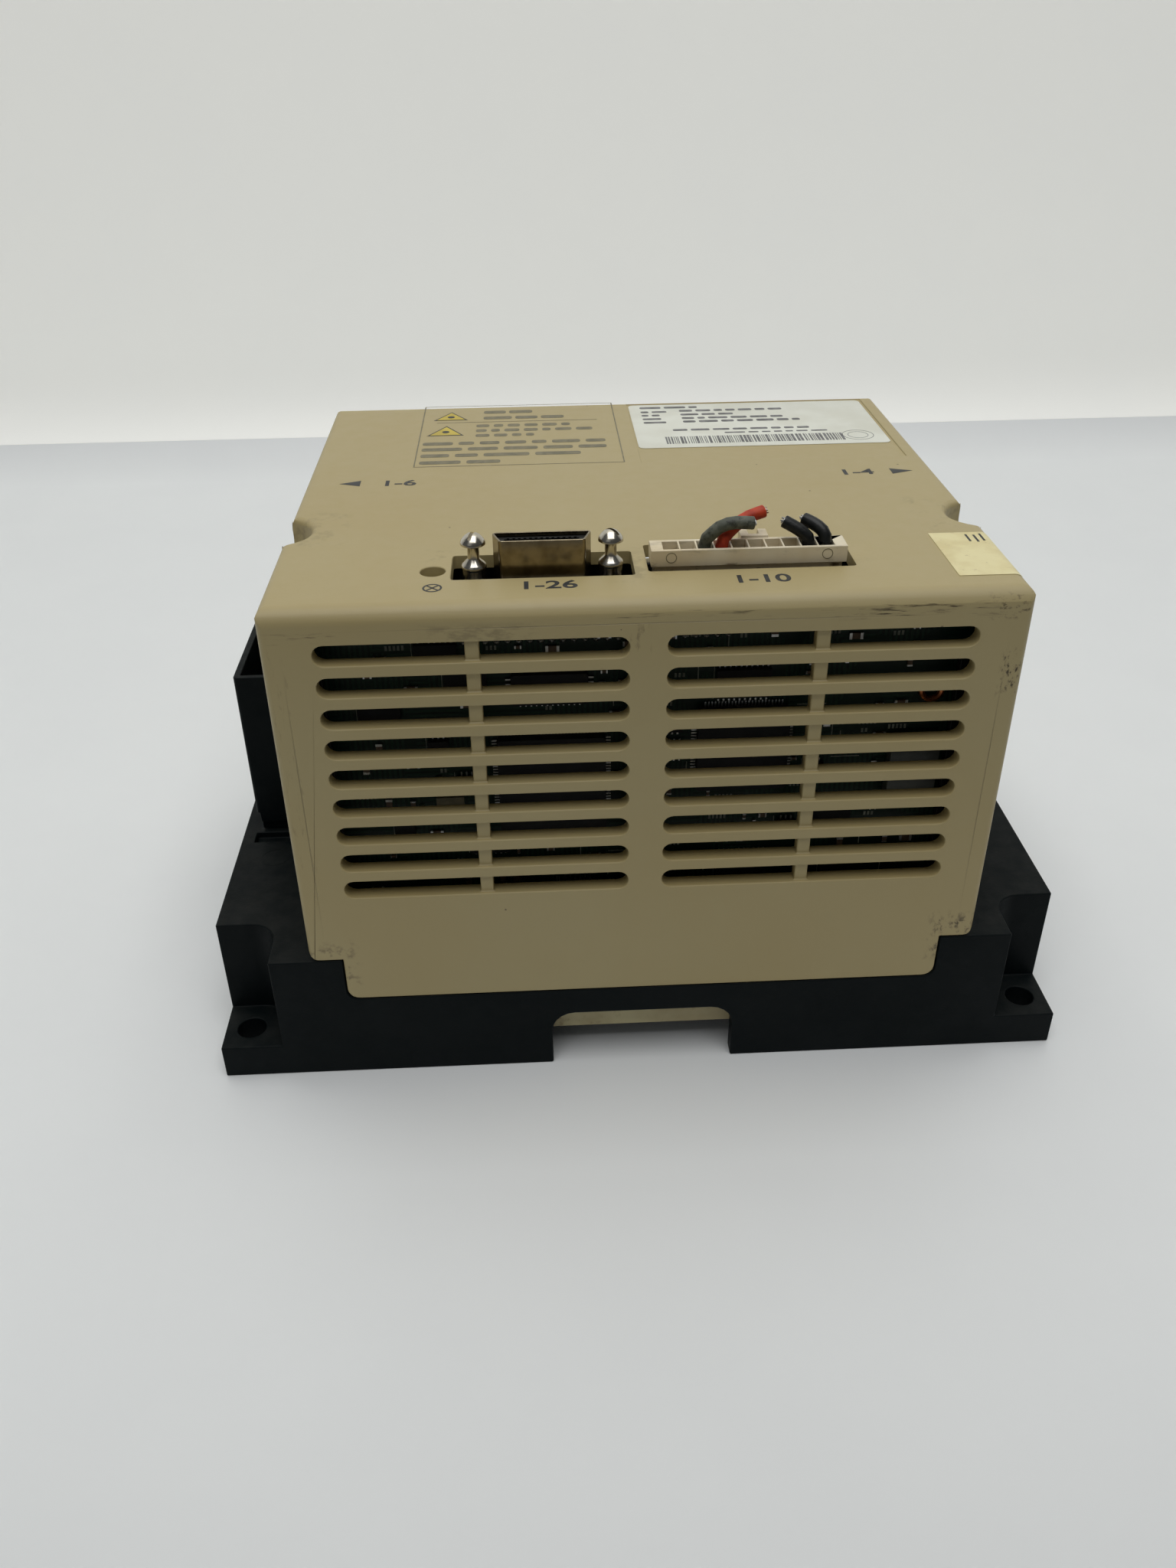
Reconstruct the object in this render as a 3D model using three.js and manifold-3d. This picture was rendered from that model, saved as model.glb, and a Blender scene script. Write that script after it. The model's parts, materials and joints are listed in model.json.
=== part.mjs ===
// A servo drive lying on its mounting base: a ventilated cover over an upright control board, a
// power board above a finned heat sink, and a plastic base frame with four fixing ears.
// Millimetres, X to the right, Y to the back, Z up. The origin is on the floor under the middle
// of the base. Values named fromFront are measured back from the drive's front face.

import * as THREE from "three";
import { mergeVertices } from "three/addons/utils/BufferGeometryUtils.js";
import Module from "manifold-3d";

const wasm = await Module();
wasm.setup();

// ---- driving dimensions ----

const gap = 0.3; // left between pieces that touch
const over = 1; // how far a cutter runs past the face it opens
const quarterSteps = 5; // straight steps in a quarter turn of an outline

const body = { width: 170, depth: 153.4, height: 135 };

const base = {
  height: 38.4,
  shelf: 27, // from the cover's side to the side of the base
  endWall: 4.5,
  sideWall: 3,
  deck: 3,
  windowInsetX: 13,
  windowInsetY: 15,
  windowCorner: 4,
};
const ear = {
  length: 16.3,
  depth: 16.4,
  thickness: 10,
  corner: 7,
  holeRadius: 3.75,
  holeInset: 7,
  holeFromEnd: 7.7,
};
const arch = { width: 48, height: 17.4, corner: 6 };

const shell = { wall: 3.2, topRadius: 4, sideRadius: 2.4, uprightRadius: 1.5, footRadius: 3 };
const skirt = { inset: 8.5, drop: 12.7, corner: 3 };
const vent = {
  pitch: 7.95,
  height: 5,
  belowTop: 10.9,
  aboveFoot: 18,
  sideMargin: 11.25,
  centreBar: 8.3,
  ribWidth: 3.2,
  ribSetback: 1,
  thicker: 1.1, // the slotted panel than the wall round it
  panelMargin: 2,
};
const grip = { fromFront: 48, centreOut: 3, radius: 9, depth: 13, lip: 1.6 };
const labelRecess = { left: 6.1, sideMargin: 4.6, length: 57.4, backMargin: 3.3, depth: 0.4 };

const port = {
  x: -22.7,
  fromFront: 21.1,
  width: 22.4,
  taper: 1.3, // how much nearer the middle each front corner is
  thickness: 5.8,
  wall: 0.5,
  contacts: 13,
  pitch: 1.27,
};
const portWindow = { width: 41.5, length: 14.1, fromFront: 21.65, corner: 0.8 };
const portRise = { shell: 7.3, insert: 0.9, plateDrop: 7.5, plate: 0.9, bodyHeight: 15 };
const post = {
  spacing: 31.2,
  radius: 2.95,
  neck: 1.4,
  rise: 8.7,
  collarRise: 1.4,
  headHeight: 2.7,
  slot: 0.9,
};

const plug = {
  left: 1.9,
  cells: 10,
  pitch: 3.96,
  endWall: 2.65,
  fromFront: 18.3,
  thickness: 6.6,
  rise: 4,
  height: 10.5,
  step: 0.8, // how far its lower part is set in
};
const latch = { width: 6.4, reach: 4, notch: 2.4 };
const plugCell = { width: 3.5, length: 4.8, depth: 5, pin: 1.14, pinHole: 1.9 };
const plugWindow = { leftRoom: 0.7, rightRoom: 1.9, fromFront: 16.2, length: 16, corner: 0.8 };
const wire = { radius: 1.55, sides: 10, steps: 9 };

const lamp = { x: -47.7, fromFront: 19.9, hole: 2.9, radius: 2.5, below: 3, length: 14 };

const controlBoard = { fromFront: 12.5, thickness: 1.6, sideMargin: 8, topMargin: 7, foot: 3.5 };
const powerBoard = { above: 8, thickness: 1.6, sideMargin: 6, fromFront: 19, backMargin: 6.5 };
const divider = { behindLatch: 2, thickness: 0.8, sideMargin: 9, belowSkin: 1 };
const heatSink = {
  plate: 5,
  lapX: 8, // how far it reaches under the deck beside the window
  lapY: 5.5,
  finPitch: 5.6,
  fin: 1.9,
  finFoot: 10.5,
  threadDepth: 4,
};
const labelPlate = { width: 60, thickness: 1.5, bottom: 8.45, height: 15.5 };
const socket = {
  fromFront: 60.3,
  length: 40,
  width: 21.6,
  top: 88.7,
  wall: 1.8,
  floor: 3,
  step: 1,
  stepHeight: 6,
  contacts: 6,
  insertHeight: 7,
  contactRise: 11,
  fromCover: 1,
};
const socketSlitRoom = { fromInner: 0.5, near: 5.6, far: 0.8, depth: 2 };
const screw = { radius: 1.5, headRadius: 3, head: 2.2, slot: 0.8 };
const capacitor = { radius: 13, height: 48, pitch: 29, margin: 15 };
const powerModule = { width: 34, length: 48, height: 9, pitch: 38, count: 3 };

// ---- places worked out from them ----

const front = -body.depth / 2;
const halfWidth = body.width / 2;
const halfDepth = body.depth / 2;
const baseHalfWidth = halfWidth + base.shelf;
const coverFoot = base.height + gap;
const deckTop = base.height;
const boardFace = front + controlBoard.fromFront;
const boardBack = boardFace + controlBoard.thickness;
const boardHalfWidth = halfWidth - controlBoard.sideMargin;
const boardTop = body.height - controlBoard.topMargin;
const boardFoot = deckTop + controlBoard.foot;
const powerBottom = deckTop + powerBoard.above;
const powerTop = powerBottom + powerBoard.thickness;
const powerHalfWidth = halfWidth - powerBoard.sideMargin;
const powerFront = front + powerBoard.fromFront;
const powerBack = halfDepth - powerBoard.backMargin;
const sinkTop = base.height - base.deck - gap;
const sinkHalfWidth = halfWidth - base.windowInsetX + heatSink.lapX;
const sinkHalfDepth = halfDepth - base.windowInsetY + heatSink.lapY;
const portPlateTop = body.height - portRise.plateDrop;
const plugTop = body.height + plug.rise;
const plugBottom = plugTop - plug.height;
const plugMiddle = front + plug.fromFront + plug.thickness / 2;
const plugRight = plug.left + 2 * plug.endWall + plug.cells * plug.pitch;
const socketInner = halfWidth + socket.fromCover;

const cellX = (number) => plug.left + plug.endWall + (number - 0.5) * plug.pitch;

// ---- solids ----

const sides = [-1, 1];

function solid(geometry) {
  geometry.deleteAttribute("normal");
  geometry.deleteAttribute("uv");
  const welded = mergeVertices(geometry, 1e-4);
  const mesh = new wasm.Mesh({
    numProp: 3,
    vertProperties: Float32Array.from(welded.attributes.position.array),
    triVerts: Uint32Array.from(welded.index.array),
  });
  return new wasm.Manifold(mesh);
}

function joined(solids) {
  return solids.reduce((whole, next) => whole.add(next));
}

function arcPoints(x, y, radius, startTurn, turns, steps) {
  const points = [];
  for (let i = 0; i <= steps; i += 1) {
    const angle = 2 * Math.PI * (startTurn + (turns * i) / steps);
    points.push(new THREE.Vector2(x + radius * Math.cos(angle), y + radius * Math.sin(angle)));
  }
  return points;
}

// A rectangle with rounded corners, listed from the lower left one anticlockwise.
function outline(x0, y0, x1, y1, radii) {
  const corners = Array.isArray(radii) ? radii : [radii, radii, radii, radii];
  const places = [[x0, y0, 1, 1], [x1, y0, -1, 1], [x1, y1, -1, -1], [x0, y1, 1, -1]];
  return places.flatMap(([x, y, inX, inY], i) => {
    const radius = corners[i];
    if (radius === 0) return [new THREE.Vector2(x, y)];
    return arcPoints(x + inX * radius, y + inY * radius, radius, 0.5 + i / 4, 0.25, quarterSteps);
  });
}

function extruded(points, length) {
  return new THREE.ExtrudeGeometry(new THREE.Shape(points), { depth: length, bevelEnabled: false, steps: 1 });
}

function prismZ(points, z0, z1) {
  return solid(extruded(points, z1 - z0).translate(0, 0, z0));
}

// The outline is drawn in X and Z.
function prismY(points, y0, y1) {
  return solid(extruded(points, y1 - y0).rotateX(Math.PI / 2).translate(0, y1, 0));
}

// The outline is drawn in Y and Z.
function prismX(points, x0, x1) {
  const turn = new THREE.Matrix4().set(0, 0, 1, 0, 1, 0, 0, 0, 0, 1, 0, 0, 0, 0, 0, 1);
  return solid(extruded(points, x1 - x0).applyMatrix4(turn).translate(x0, 0, 0));
}

function block(x0, x1, y0, y1, z0, z1) {
  const geometry = new THREE.BoxGeometry(x1 - x0, y1 - y0, z1 - z0);
  return solid(geometry.translate((x0 + x1) / 2, (y0 + y1) / 2, (z0 + z1) / 2));
}

function rod(radius, x, y, z0, z1, facets = 24) {
  const geometry = new THREE.CylinderGeometry(radius, radius, z1 - z0, facets);
  return solid(geometry.rotateX(Math.PI / 2).translate(x, y, (z0 + z1) / 2));
}

// The profile is a list of [radius, height], from the bottom of the axis to its top.
function turned(profile, x, y, z, facets = 16) {
  const points = profile.map(([radius, height]) => new THREE.Vector2(radius, height));
  return solid(new THREE.LatheGeometry(points, facets).rotateX(Math.PI / 2).translate(x, y, z));
}

// ---- the drive as a group of named meshes ----

const drive = new THREE.Group();

const finishes = {
  coverPlastic: { color: 0xb3a889, roughness: 0.55, metalness: 0 },
  basePlastic: { color: 0x23282b, roughness: 0.5, metalness: 0 },
  blackPlastic: { color: 0x151617, roughness: 0.45, metalness: 0 },
  ivoryPlastic: { color: 0xd9d2bd, roughness: 0.5, metalness: 0 },
  labelPlastic: { color: 0xcfc5a4, roughness: 0.6, metalness: 0 },
  lampLens: { color: 0xc9c08f, roughness: 0.3, metalness: 0 },
  boardGreen: { color: 0x12402c, roughness: 0.4, metalness: 0 },
  chipBlack: { color: 0x1a1b1c, roughness: 0.6, metalness: 0 },
  plated: { color: 0xc4c1ba, roughness: 0.25, metalness: 1 },
  aluminium: { color: 0xa9abad, roughness: 0.4, metalness: 1 },
  steel: { color: 0x8f9092, roughness: 0.35, metalness: 1 },
  copper: { color: 0xb06a3c, roughness: 0.4, metalness: 1 },
  sleeveDark: { color: 0x1b2a4a, roughness: 0.35, metalness: 0 },
  greyRubber: { color: 0x5f6159, roughness: 0.6, metalness: 0 },
  redRubber: { color: 0xa83a24, roughness: 0.55, metalness: 0 },
  blackRubber: { color: 0x161716, roughness: 0.55, metalness: 0 },
};

function place(name, piece, finish) {
  const result = piece.getMesh();
  const geometry = new THREE.BufferGeometry();
  geometry.setAttribute("position", new THREE.BufferAttribute(Float32Array.from(result.vertProperties), 3));
  geometry.setIndex(new THREE.BufferAttribute(Uint32Array.from(result.triVerts), 1));
  geometry.computeVertexNormals();
  const mesh = new THREE.Mesh(geometry, new THREE.MeshStandardMaterial(finishes[finish]));
  mesh.name = name;
  drive.add(mesh);
}

// ---- cover ----

function ventHeights() {
  const top = body.height - vent.belowTop;
  const room = top - coverFoot - vent.aboveFoot;
  const rows = Math.floor(room / vent.pitch) + 1;
  return Array.from({ length: rows }, (unused, i) => top - i * vent.pitch);
}

// Both columns of slots through one end wall, with the rib that crosses each slot left standing.
function ventCutter(side) {
  const face = side * (halfDepth + over);
  const back = halfDepth - shell.wall - vent.thicker;
  const inner = side * (back - over);
  const ribFace = side * (halfDepth - vent.ribSetback);
  const ribBack = side * (back - 2 * over);
  const heights = ventHeights();
  const slots = [];
  const ribs = [];
  for (const column of sides) {
    const x = [column * (vent.centreBar / 2), column * (halfWidth - vent.sideMargin)].sort((a, b) => a - b);
    const ribX = (x[0] + x[1]) / 2;
    for (const z of heights) {
      const slot = outline(x[0], z - vent.height / 2, x[1], z + vent.height / 2, vent.height / 2);
      const rounded = slot.filter((point, i) => i === 0 || point.distanceTo(slot[i - 1]) > 1e-3);
      rounded.splice(-1, rounded.at(-1).distanceTo(rounded[0]) < 1e-3 ? 1 : 0);
      slots.push(prismY(rounded, Math.min(face, inner), Math.max(face, inner)));
    }
    ribs.push(block(
      ribX - vent.ribWidth / 2, ribX + vent.ribWidth / 2,
      Math.min(ribFace, ribBack), Math.max(ribFace, ribBack),
      heights.at(-1) - vent.height, heights[0] + vent.height,
    ));
  }
  return joined(slots).subtract(joined(ribs));
}

function ventPanel(side) {
  const heights = ventHeights();
  const reach = vent.height / 2 + vent.panelMargin;
  const x = halfWidth - vent.sideMargin + vent.panelMargin;
  const wallBack = halfDepth - shell.wall;
  const y = [side * (wallBack + over), side * (wallBack - vent.thicker)].sort((a, b) => a - b);
  return block(-x, x, y[0], y[1], heights.at(-1) - reach, heights[0] + reach);
}

// The hollow that a fingertip fits, cut down into the side wall from the top edge.
function gripCutter(side) {
  const top = grip.depth;
  const profile = [
    [0, 0],
    [grip.radius * 0.6, grip.radius * 0.12],
    [grip.radius * 0.9, grip.radius * 0.4],
    [grip.radius, grip.radius * 0.85],
    [grip.radius, top - grip.lip],
    [grip.radius + grip.lip * 0.3, top - grip.lip * 0.4],
    [grip.radius + grip.lip, top],
    [grip.radius + grip.lip, top + over],
    [0, top + over],
  ];
  return turned(profile, side * (halfWidth + grip.centreOut), front + grip.fromFront, body.height - top, 28);
}

function gripWall(side) {
  const radius = grip.radius + grip.lip / 2 + shell.wall;
  const x = side * (halfWidth + grip.centreOut);
  return rod(radius, x, front + grip.fromFront, body.height - grip.depth - shell.wall, body.height, 28);
}

function footCornerCutter(side, end) {
  const x = side * (halfWidth - shell.footRadius);
  const z = coverFoot + shell.footRadius;
  const round = arcPoints(x, z, shell.footRadius, 0.75, side / 4, quarterSteps);
  const outside = new THREE.Vector2(side * (halfWidth + over), coverFoot - over);
  const below = new THREE.Vector2(x, coverFoot - over);
  const beside = new THREE.Vector2(side * (halfWidth + over), z);
  const points = [below, ...round, beside, outside];
  const turn = side > 0 ? points.reverse() : points;
  const y = [end * (halfDepth + over), end * (halfDepth - shell.wall - over)].sort((a, b) => a - b);
  return prismY(turn, y[0], y[1]);
}

function coverOutside() {
  const frontView = outline(
    -halfWidth, coverFoot, halfWidth, body.height,
    [0, 0, shell.sideRadius, shell.sideRadius],
  );
  const sideView = outline(
    -halfDepth, coverFoot - over, halfDepth, body.height,
    [0, 0, shell.topRadius, shell.topRadius],
  );
  const plan = outline(-halfWidth, -halfDepth, halfWidth, halfDepth, shell.uprightRadius);
  return prismY(frontView, -halfDepth, halfDepth)
    .intersect(prismX(sideView, -halfWidth - over, halfWidth + over))
    .intersect(prismZ(plan, coverFoot - over, body.height + over));
}

function coverSkirt(end) {
  const x = halfWidth - skirt.inset;
  const foot = base.height - skirt.drop;
  const view = outline(-x, foot, x, coverFoot + shell.wall, [skirt.corner, skirt.corner, 0, 0]);
  const y = [end * halfDepth, end * (halfDepth - shell.wall)].sort((a, b) => a - b);
  return prismY(view, y[0], y[1]);
}

function topWindow(left, width, fromFront, length, corner) {
  const view = outline(left, front + fromFront, left + width, front + fromFront + length, corner);
  return prismZ(view, body.height - shell.wall - over, body.height + over);
}

function makeCover() {
  const hollow = block(
    -halfWidth + shell.wall, halfWidth - shell.wall,
    -halfDepth + shell.wall, halfDepth - shell.wall,
    coverFoot - over, body.height - shell.wall,
  );
  const outside = coverOutside();
  let piece = outside.subtract(hollow.subtract(joined(sides.map(gripWall))));
  for (const side of sides) {
    piece = piece.add(ventPanel(side)).subtract(gripCutter(side)).subtract(ventCutter(side));
    piece = piece.subtract(footCornerCutter(side, -1)).subtract(footCornerCutter(side, 1));
    piece = piece.add(coverSkirt(side));
  }
  const portNear = portWindow.fromFront - portWindow.length / 2;
  piece = piece.subtract(topWindow(
    port.x - portWindow.width / 2, portWindow.width, portNear, portWindow.length, portWindow.corner,
  ));
  const { leftRoom, rightRoom, fromFront, length, corner } = plugWindow;
  const plugWindowWidth = plugRight + rightRoom - plug.left + leftRoom;
  piece = piece.subtract(topWindow(plug.left - leftRoom, plugWindowWidth, fromFront, length, corner));
  const underSkin = body.height - shell.wall - over;
  piece = piece.subtract(rod(lamp.hole, lamp.x, front + lamp.fromFront, underSkin, body.height + over));
  const recessBack = halfDepth - labelRecess.backMargin;
  piece = piece.subtract(block(
    labelRecess.left, halfWidth - labelRecess.sideMargin,
    recessBack - labelRecess.length, recessBack,
    body.height - labelRecess.depth, body.height + over,
  ));
  place("cover", piece, "coverPlastic");
}

// ---- base frame ----

function earCutters(side, end) {
  const x = [side * (baseHalfWidth - ear.length), side * (baseHalfWidth + over)].sort((a, b) => a - b);
  const y = [end * (halfDepth - ear.depth), end * (halfDepth + over)].sort((a, b) => a - b);
  const inner = (end < 0 ? 2 : 0) + (side * end < 0 ? 1 : 0);
  const radii = [0, 0, 0, 0];
  radii[inner] = ear.corner;
  const pocket = prismZ(outline(x[0], y[0], x[1], y[1], radii), ear.thickness, deckTop + over);
  const holeX = side * (baseHalfWidth - ear.holeInset);
  const holeY = end * (halfDepth - ear.holeFromEnd);
  const hole = rod(ear.holeRadius, holeX, holeY, -over, ear.thickness + over, 20);
  return pocket.add(hole);
}

function archCutter(end) {
  const half = arch.width / 2;
  const view = outline(-half, -over, half, arch.height, [0, 0, arch.corner, arch.corner]);
  const y = [end * (halfDepth + over), end * (halfDepth - base.endWall - over)].sort((a, b) => a - b);
  return prismY(view, y[0], y[1]);
}

function skirtSeat(end) {
  const x = halfWidth - skirt.inset + gap;
  const bottom = base.height - skirt.drop - gap;
  const view = outline(-x, bottom, x, deckTop + over, [skirt.corner, skirt.corner, 0, 0]);
  const y = [end * (halfDepth + over), end * (halfDepth - shell.wall - gap)].sort((a, b) => a - b);
  return prismY(view, y[0], y[1]);
}

// The slit that shows in the deck at the foot of each power socket.
function socketSlit(side) {
  const { fromInner, near, far, depth } = socketSlitRoom;
  const inner = socketInner + fromInner;
  const x = [side * inner, side * (inner + socket.width)].sort((a, b) => a - b);
  const y = front + socket.fromFront;
  return block(x[0], x[1], y - near, y - far, deckTop - depth, deckTop + over);
}

const sinkScrewX = halfWidth - base.windowInsetX + 4.5;
const sinkScrewY = halfDepth - 41.7;
const standoffX = powerHalfWidth - 4;
const standoffY = [powerFront + 5, powerBack - 5];
const screwHole = screw.radius + gap;

// The heat sink's four screw holes and the standoffs' four, between two heights.
function screwHoles(z0, z1) {
  const holes = [];
  for (const side of sides) {
    for (const y of [-sinkScrewY, sinkScrewY]) {
      holes.push(rod(screwHole, side * sinkScrewX, y, z0, z1, 12));
    }
    for (const y of standoffY) {
      holes.push(rod(screwHole, side * standoffX, y, z0, z1, 12));
    }
  }
  return joined(holes);
}

function makeBase() {
  const underDeck = base.height - base.deck;
  const sideHalf = halfDepth - ear.depth - base.sideWall;
  let piece = block(-baseHalfWidth, baseHalfWidth, -halfDepth, halfDepth, 0, base.height);
  const middle = baseHalfWidth - ear.length - base.sideWall;
  piece = piece.subtract(block(
    -middle, middle, -halfDepth + base.endWall, halfDepth - base.endWall, -over, underDeck,
  ));
  const wide = baseHalfWidth - base.sideWall;
  piece = piece.subtract(block(-wide, wide, -sideHalf, sideHalf, -over, underDeck));
  const windowX = halfWidth - base.windowInsetX;
  const windowY = halfDepth - base.windowInsetY;
  const window = outline(-windowX, -windowY, windowX, windowY, base.windowCorner);
  piece = piece.subtract(prismZ(window, underDeck - over, deckTop + over));
  for (const side of sides) {
    piece = piece.subtract(earCutters(side, -1)).subtract(earCutters(side, 1));
    piece = piece.subtract(archCutter(side)).subtract(skirtSeat(side)).subtract(socketSlit(side));
  }
  place("base_frame", piece.subtract(screwHoles(underDeck - over, deckTop + over)), "basePlastic");
}

function makeLabelPlate() {
  const y = front + base.endWall + gap;
  const { width, thickness, bottom, height } = labelPlate;
  const plate = block(-width / 2, width / 2, y, y + thickness, bottom, bottom + height);
  place("label_plate", plate, "labelPlastic");
}

// ---- heat sink ----

function makeHeatSink() {
  const plateBottom = sinkTop - heatSink.plate;
  let piece = block(-sinkHalfWidth, sinkHalfWidth, -sinkHalfDepth, sinkHalfDepth, plateBottom, sinkTop);
  const eachSide = Math.floor((sinkHalfWidth - heatSink.fin) / heatSink.finPitch);
  for (let i = -eachSide; i <= eachSide; i += 1) {
    const x = i * heatSink.finPitch;
    piece = piece.add(block(
      x - heatSink.fin / 2, x + heatSink.fin / 2,
      -sinkHalfDepth, sinkHalfDepth, heatSink.finFoot, plateBottom + over,
    ));
  }
  place("heat_sink", piece.subtract(screwHoles(sinkTop - heatSink.threadDepth, sinkTop + over)), "aluminium");
}

function screwSolid(x, y, seat, length) {
  const { radius, headRadius, head, slot } = screw;
  const top = length + head;
  const profile = [
    [0, 0], [radius, 0], [radius, length],
    [headRadius, length], [headRadius, length + head * 0.5], [headRadius * 0.75, top], [0, top],
  ];
  const driverSlot = block(
    x - headRadius, x + headRadius, y - slot / 2, y + slot / 2, seat + head * 0.5, seat + head + over,
  );
  return turned(profile, x, y, seat - length, 12).subtract(driverSlot);
}

function makeSinkScrews() {
  let number = 1;
  for (const side of sides) {
    for (const end of sides) {
      const seat = deckTop + gap;
      place(`heat_sink_screw_${number}`, screwSolid(side * sinkScrewX, end * sinkScrewY, seat, 6), "steel");
      number += 1;
    }
  }
}

// ---- power section ----

function makePowerModules() {
  const { width, length, height, pitch, count } = powerModule;
  const bottom = sinkTop + gap;
  for (let i = 0; i < count; i += 1) {
    const x = (i - (count - 1) / 2) * pitch;
    const view = outline(x - width / 2, -length / 2, x + width / 2, length / 2, 1.5);
    let piece = prismZ(view, bottom, bottom + height);
    for (const end of sides) {
      piece = piece.subtract(rod(2.2, x, end * (length / 2), bottom - over, bottom + height + over, 12));
    }
    place(`power_module_${i + 1}`, piece, "chipBlack");
  }
}

function makePowerBoard() {
  let piece = block(-powerHalfWidth, powerHalfWidth, powerFront, powerBack, powerBottom, powerTop);
  for (const side of sides) {
    for (const y of standoffY) {
      piece = piece.subtract(rod(screwHole, side * standoffX, y, powerBottom - over, powerTop + over, 12));
    }
  }
  place("power_board", piece, "boardGreen");
}

function makeStandoffs() {
  let number = 1;
  for (const side of sides) {
    for (const y of standoffY) {
      const x = side * standoffX;
      const bottom = deckTop + gap;
      const top = powerBottom - gap;
      const stud = rod(screw.radius, x, y, bottom - 5, bottom + over, 12);
      const threaded = rod(screwHole, x, y, top - 5, top + over, 12);
      place(`board_standoff_${number}`, rod(3.2, x, y, bottom, top, 6).add(stud).subtract(threaded), "steel");
      place(`board_screw_${number}`, screwSolid(x, y, powerTop + gap, 6), "steel");
      number += 1;
    }
  }
}

function makeCapacitors() {
  const bottom = powerTop + gap;
  const { radius, height, pitch, margin } = capacitor;
  const profile = [
    [0, 0], [radius, 0], [radius, 3], [radius - 0.6, 4], [radius, 5],
    [radius, height - 1], [radius - 1, height], [0, height],
  ];
  let number = 1;
  for (let row = 0; row < 2; row += 1) {
    for (let column = 0; column < 2; column += 1) {
      const x = -powerHalfWidth + margin + column * pitch;
      const y = powerBack - margin - 10 - row * pitch;
      place(`bus_capacitor_${number}`, turned(profile, x, y, bottom, 18), "sleeveDark");
      number += 1;
    }
  }
}

// The transformer: an E core of ferrite standing round its winding.
function makeTransformer() {
  const bottom = powerTop + gap;
  const right = powerHalfWidth - 12;
  const y = powerFront + 42;
  const core = block(right - 32, right, y - 8, y + 8, bottom, bottom + 26);
  const bobbin = prismZ(outline(right - 26, y - 13, right - 6, y + 13, 4), bottom + 5, bottom + 21);
  place("gate_transformer", core.add(bobbin), "chipBlack");
}

function makeChoke() {
  const bottom = powerTop + gap;
  const outer = 17;
  const inner = 8;
  const height = 14;
  const soft = 3;
  const profile = [[inner + soft, 0], [outer - soft, 0], [outer, soft], [outer, height - soft],
    [outer - soft, height], [inner + soft, height], [inner, height - soft], [inner, soft], [inner + soft, 0]];
  place("line_choke", turned(profile, powerHalfWidth - 24, powerBack - 27, bottom, 18), "copper");
}

function makeSensorsAndRelay() {
  const bottom = powerTop + gap;
  const sensorY = powerFront + 22;
  for (const side of sides) {
    const x = side * 14;
    const loop = block(x - 9, x + 9, sensorY - 6, sensorY + 6, bottom, bottom + 20);
    const name = side < 0 ? "current_sensor_left" : "current_sensor_right";
    const through = prismY(arcPoints(x, bottom + 12, 4, 0, 15 / 16, 15), sensorY - 7, sensorY + 7);
    place(name, loop.subtract(through), "chipBlack");
  }
  const relayY = powerBack - 40;
  const relay = block(-2, 27, relayY - 6.5, relayY + 6.5, bottom, bottom + 16);
  const flange = block(-3, 28, relayY - 7.5, relayY + 7.5, bottom, bottom + 2);
  place("charge_relay", relay.add(flange), "blackPlastic");
}

// The insulating sheet that keeps the power section from the control board.
function makeDivider() {
  const x = halfWidth - divider.sideMargin;
  const y = plugMiddle + plug.thickness / 2 + latch.reach + divider.behindLatch;
  const top = body.height - shell.wall - divider.belowSkin;
  place("insulating_sheet", block(-x, x, y, y + divider.thickness, powerTop + gap, top), "blackPlastic");
}

// ---- control board and what stands on it ----

function makeControlBoard() {
  const view = outline(-boardHalfWidth, boardFoot, boardHalfWidth, boardTop, 1.5);
  place("control_board", prismY(view, boardFace, boardBack), "boardGreen");
}

function makeCardGuides() {
  const slack = 0.4;
  for (const side of sides) {
    const x = [side * (boardHalfWidth - 3), side * (boardHalfWidth + 3.5)].sort((a, b) => a - b);
    const post = block(x[0], x[1], boardFace - 2.5, boardBack + 2.5, deckTop + gap, boardTop - 14);
    const groove = [side * (boardHalfWidth - 4), side * (boardHalfWidth + slack)].sort((a, b) => a - b);
    const cut = block(
      groove[0], groove[1], boardFace - slack, boardBack + slack,
      boardFoot - slack, boardTop,
    );
    place(side < 0 ? "card_guide_left" : "card_guide_right", post.subtract(cut), "blackPlastic");
  }
}

function chip(name, x, z, width, height, thickness) {
  const view = outline(x - width / 2, z - height / 2, x + width / 2, z + height / 2, 0.8);
  place(name, prismY(view, boardFace - gap - thickness, boardFace - gap), "chipBlack");
}

function makeChips() {
  const middle = (boardFoot + boardTop) / 2;
  chip("processor_chip", -22, middle - 2, 26, 26, 3);
  chip("gate_array_chip", 24, middle + 6, 22, 22, 3);
  chip("memory_chip", -22, middle + 24, 18, 8, 2.4);
}

function makeBoardLink() {
  const y = boardBack + gap;
  place("board_link", block(-20, 30, y, y + 4, powerTop + 3, powerTop + 12)
    .add(block(-20, 30, y + 2, y + 14, powerTop + gap, powerTop + 7)), "ivoryPlastic");
}

function makeLamp() {
  const top = body.height - lamp.below;
  const y = front + lamp.fromFront;
  const r = lamp.radius;
  const profile = [[0, 0], [r, 0], [r, lamp.length - r], [r * 0.87, lamp.length - r * 0.5],
    [r * 0.5, lamp.length - r * 0.13], [0, lamp.length]];
  const foot = top - lamp.length;
  const lens = turned(profile, lamp.x, y, foot, 20);
  const holder = block(lamp.x - 3, lamp.x + 3, boardBack + gap, y + 3, foot - 4, foot + 2);
  place("ready_lamp", lens.add(holder), "lampLens");
}

// ---- ribbon port ----

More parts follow.
